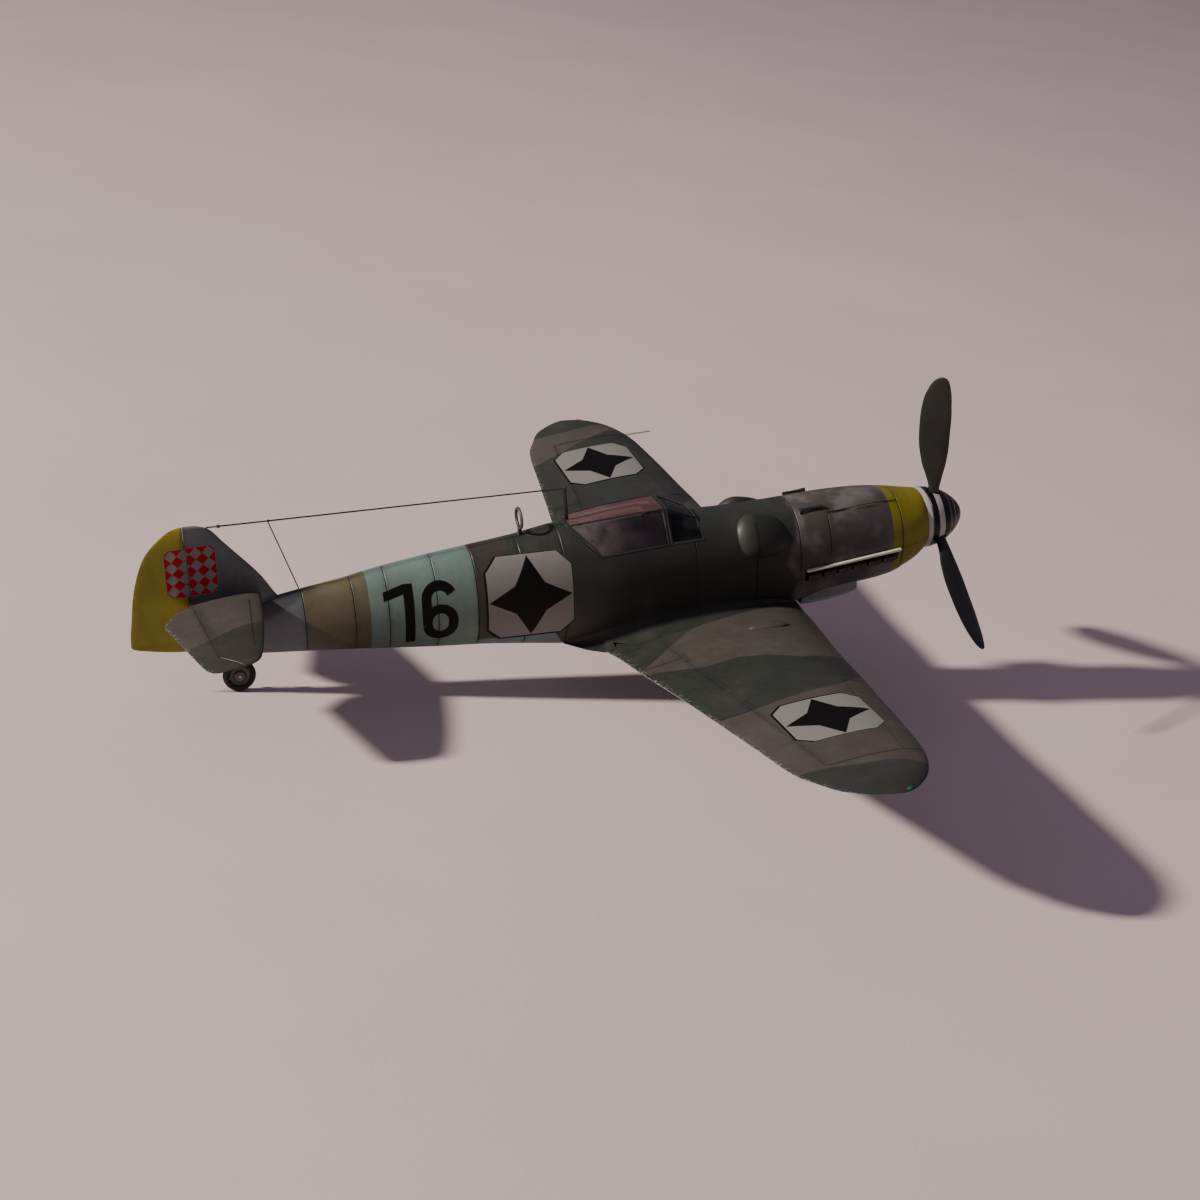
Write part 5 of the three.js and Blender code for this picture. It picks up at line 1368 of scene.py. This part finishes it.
def stroke(path, w):
    out = []
    path = [np.array(p, float) for p in path]
    path = [p for i, p in enumerate(path) if i == 0 or np.linalg.norm(p - path[i - 1]) > 1]
    for a, b in zip(path[:-1], path[1:]):
        d = (b - a) / np.linalg.norm(b - a)
        n = np.array([-d[1], d[0]]) * w / 2
        a2, b2 = a - d * w * 0.0, b + d * w * 0.0
        out.append([tuple(a2 - n), tuple(b2 - n), tuple(b2 + n), tuple(a2 + n)])
    for p in path[1:-1]:
        out.append([tuple(p + w / 2 * np.array([math.cos(t), math.sin(t)])) for t in np.linspace(0, 2 * math.pi, 17)[:-1]])
    return out


def digit(ch, w, h, s):
    """Block numeral in a w by h cell, lower left at 0,0."""
    if ch == "1":
        return [[(w * 0.5, 0), (w * 0.5 + s, 0), (w * 0.5 + s, h), (w * 0.5, h)], [(w * 0.5 + 2, h), (w * 0.5 + 2, h - s * 0.95), (-w * 0.1, h - s * 1.5), (-w * 0.1, h - s * 0.55)]]
    if ch == "6":
        r = w / 2 - s / 2
        loop = [(w / 2 + r * math.cos(t), s / 2 + r + r * math.sin(t)) for t in np.linspace(0, -math.pi, 9)]
        low = [(s / 2, s / 2 + r), (s / 2, h * 0.40)]
        mid = [(w / 2 + r * math.cos(t), h * 0.55 - r + r * math.sin(t)) for t in np.linspace(math.pi, 0, 9)]
        right = [(w - s / 2, h * 0.55 - r), (w - s / 2, s / 2 + r)]
        arc = [(w / 2 + r * math.cos(t), h - s / 2 - r + r * math.sin(t)) for t in np.linspace(0.35, math.pi, 9)]
        stem = [(s / 2, h - s / 2 - r), (s / 2, s / 2 + r)]
        return stroke(right + loop, s) + stroke(mid + right, s) + stroke(arc + stem, s)
    return []


def number(text, x_text0, side, z0, w, h, s, gap):
    """Digits read left to right as seen from that side."""
    polys = []
    u = 0
    for ch in text:
        wc = w * (1.08 if ch == "6" else 1)
        for poly in digit(ch, wc, h, s):
            polys.append([((x_text0 - (u + px)) if side > 0 else (x_text0 + u + px), z0 + pz) for px, pz in poly])
        u += wc + gap
    return polys


film("number_right", number("16", 6470, 1, -322, 335, 650, 98, 8), on_fuselage(1), 1.4, MAT["ink_black"])
film("number_left", number("16", 5780, -1, -322, 335, 650, 98, 8), on_fuselage(-1), 1.4, MAT["ink_black"])


def rounded(c, a, b, r):
    out = []
    for sx, sy, t0 in ((1, 1, 0), (-1, 1, 90), (-1, -1, 180), (1, -1, 270)):
        for t in np.linspace(t0, t0 + 90, 7):
            out.append((c[0] + sx * (a - r) + r * math.cos(math.radians(t)), c[1] + sy * (b - r) + r * math.sin(math.radians(t))))
    return out


def clip_poly(poly, half_planes):
    for (nx, ny, d) in half_planes:
        out = []
        for i in range(len(poly)):
            a, b = poly[i], poly[(i + 1) % len(poly)]
            da, db = nx * a[0] + ny * a[1] - d, nx * b[0] + ny * b[1] - d
            if da <= 0:
                out.append(a)
            if da * db < 0:
                t = da / (da - db)
                out.append((a[0] + (b[0] - a[0]) * t, a[1] + (b[1] - a[1]) * t))
        poly = out
        if len(poly) < 3:
            return []
    return poly


FC, FA = (8350, 745), 258
for side, tag in ((1, "right"), (-1, "left")):
    film("fin_panel_" + tag, [rounded(FC, FA, FA, 90)], on_fin(side), 1.2, MAT["ink_white"])
    loz = []
    planes = [(1, 0, FC[0] + FA - 6), (-1, 0, -(FC[0] - FA + 6)), (0, 1, FC[1] + FA - 6), (0, -1, -(FC[1] - FA + 6))]
    for sx, sy in ((1, 1), (-1, 1), (1, -1), (-1, -1)):
        cx, cy = FC[0] + sx * (FA - 90), FC[1] + sy * (FA - 90)
        planes.append((sx * 0.7071, sy * 0.7071, (sx * cx + sy * cy) * 0.7071 + 84))
    q = 62.0
    for i in range(-6, 7):
        for j in range(-6, 7):
            if (i + j) % 2:
                continue
            c = (FC[0] + i * q, FC[1] + j * q * 1.0)
            if (i % 2) != 0:
                continue
            lz = clip_poly([(c[0] - q * 0.97, c[1]), (c[0], c[1] - q * 0.97), (c[0] + q * 0.97, c[1]), (c[0], c[1] + q * 0.97)], planes)
            if len(lz) > 2:
                loz.append(lz)
    film("fin_lozenges_" + tag, loz, on_fin(side), 2.4, MAT["ink_red"])

# ---- small mouldings: the CAD shapes with moulded radii ------------------------------------------------
for node, mt, bv in [
        ("exhaust_right", "exhaust", 0.06), ("exhaust_left", "exhaust", 0.06), ("exhaust_shield_right", "cream", 0.05), ("exhaust_shield_left", "cream", 0.05),
        ("oil_cooler", "cooler", 0.10), ("oil_cooler_core", "matrix", 0.02),
        ("radiator_right", "under", 0.10), ("radiator_left", "under", 0.10), ("radiator_core_right", "matrix", 0.02), ("radiator_core_left", "matrix", 0.02),
        ("air_intake", "intake", 0.06), ("cockpit_tub", "cockpit", 0.05), ("seat", "cockpit", 0.06), ("instrument_panel", "cockpit", 0.04), ("control_stick", "gun", 0.03),
        ("gun_sight", "gun", 0.03), ("head_armour", "cockpit", 0.03), ("rear_bulkhead", "cockpit", 0.04), ("antenna_mast", "mast", 0.03), ("df_loop", "mast", 0.0),
        ("antenna_wire", "wire", 0.0), ("antenna_lead_in", "wire", 0.0), ("pitot_tube", "pitot", 0.02), ("gear_leg_right", "leg", 0.05), ("gear_leg_left", "leg", 0.05),
        ("gear_door_right", "under", 0.04), ("gear_door_left", "under", 0.04), ("tail_leg", "leg", 0.04), ("spinner_backplate", "dark", 0.04), ("prop_shaft", "bare", 0.04),
        ("prop_retainer", "dark", 0.04), ("nose_bearing", "bare", 0.04)]:
    ob = refined(node, bevel=bv, material=MAT[mt])
    if mt == "under":
        n = len(ob.data.vertices)
        attribute(ob, "line", np.zeros(n))
        attribute(ob, "halo", np.zeros(n))
        attribute(ob, "edge", np.zeros(n))

for side, nm in ((1, "right"), (-1, "left")):
    a = np.array([2044.0, side * 244, 446])
    b = np.array([1790.0, side * 244, 460])
    d = (b - a) / np.linalg.norm(b - a)
    L = float(np.linalg.norm(b - a))
    prof = [(0, 0), (0, 21), (L - 190, 21), (L - 186, 17), (L - 60, 17), (L - 56, 20), (L - 3, 20), (L, 17), (L, 10), (L - 16, 9), (L - 16, 0)]
    t = np.arange(28) / 28 * 2 * math.pi
    u = np.cross(d, [0, 1.0, 0])
    rings = [a + d * q + r * (np.cos(t)[:, None] * u + np.sin(t)[:, None] * np.array([0, 1.0, 0])) for q, r in prof if r > 0]
    barrel = loft("gun_barrel_%s_turned" % nm, np.array(rings))
    smooth(barrel, 40)
    place(barrel, "gun_barrel_" + nm, material=MAT["gun"])

# coloured lamps let into the wing tips
for side, nm, col in ((1, "starboard", srgb(20, 96, 62)), (-1, "port", srgb(150, 26, 28))):
    yy = 4905.0
    lx = float(wing_le(yy)) + 60
    lamp = ellipsoid("tip_lamp_" + nm, (lx, side * (yy - 2), float(wing_ref(yy)) - 6), (46, 22, 15), rz=side * 0.6, n=28, m=18)
    smooth(lamp, 60)
    place(lamp, material=mat_small("lamp_" + nm, col, 0.25, 0, 4.0, 0.2), slot="clear_plastic", body="airframe")

# ---- camera at the photograph's viewing angle ------------------------------------------------------------
az, el, roll, f_px = math.radians(-16.975), math.radians(24.986), math.radians(2.189), 2586.5
C = Vector((-156.680, -323.308, 153.259))
back = Vector((math.sin(az) * math.cos(el), -math.cos(az) * math.cos(el), math.sin(el)))
right = Vector((math.cos(az), math.sin(az), 0))
up = back.cross(right)
r2 = right * math.cos(roll) - up * math.sin(roll)
u2 = right * math.sin(roll) + up * math.cos(roll)
cam_data = bpy.data.cameras.new("camera")
cam_data.sensor_width, cam_data.lens = 36.0, f_px / 1200 * 36
cam_data.clip_start, cam_data.clip_end = 0.01, 20
cam = bpy.data.objects.new("camera", cam_data)
bpy.context.scene.collection.objects.link(cam)
bpy.context.scene.camera = cam
loc = (turn(C) + Vector((ROOT_X, 0, LIFT))) / 1000
m = Matrix.Identity(4)
for i, v in enumerate((turn(r2), turn(u2), turn(back))):
    m[0][i], m[1][i], m[2][i] = v
m.translation = loc
cam.matrix_world = m

# ---- floor and light -------------------------------------------------------------------------------------
me = bpy.data.meshes.new("floor")
N = 24
vs = [((i / N - 0.5) * 4, (j / N - 0.5) * 4, -0.00002) for i in range(N + 1) for j in range(N + 1)]
me.from_pydata(vs, [], [(i * (N + 1) + j, (i + 1) * (N + 1) + j, (i + 1) * (N + 1) + j + 1, i * (N + 1) + j + 1) for i in range(N) for j in range(N)])
floor = bpy.data.objects.new("floor", me)
bpy.context.scene.collection.objects.link(floor)
me.materials.append(mat_floor())


def area(name, direction, distance, size, power, colour):
    d = Vector(direction).normalized()
    li = bpy.data.lights.new(name, "AREA")
    li.shape, li.size, li.energy, li.color = "DISK", size, power, colour
    ob = bpy.data.objects.new(name, li)
    ob.location = d * distance + Vector((0, 0, 0.02))
    ob.rotation_euler = d.to_track_quat("Z", "Y").to_euler()
    bpy.context.scene.collection.objects.link(ob)


e = math.radians(26.0)
area("key", (-math.cos(e), 0.02, math.sin(e)), 1.0, 0.062, 18.2, (1.0, 0.92, 0.87))
world = bpy.data.worlds.new("studio")
world.use_nodes = True
world.node_tree.nodes["Background"].inputs["Color"].default_value = (0.75, 0.66, 0.88, 1)
world.node_tree.nodes["Background"].inputs["Strength"].default_value = 0.215
bpy.context.scene.world = world
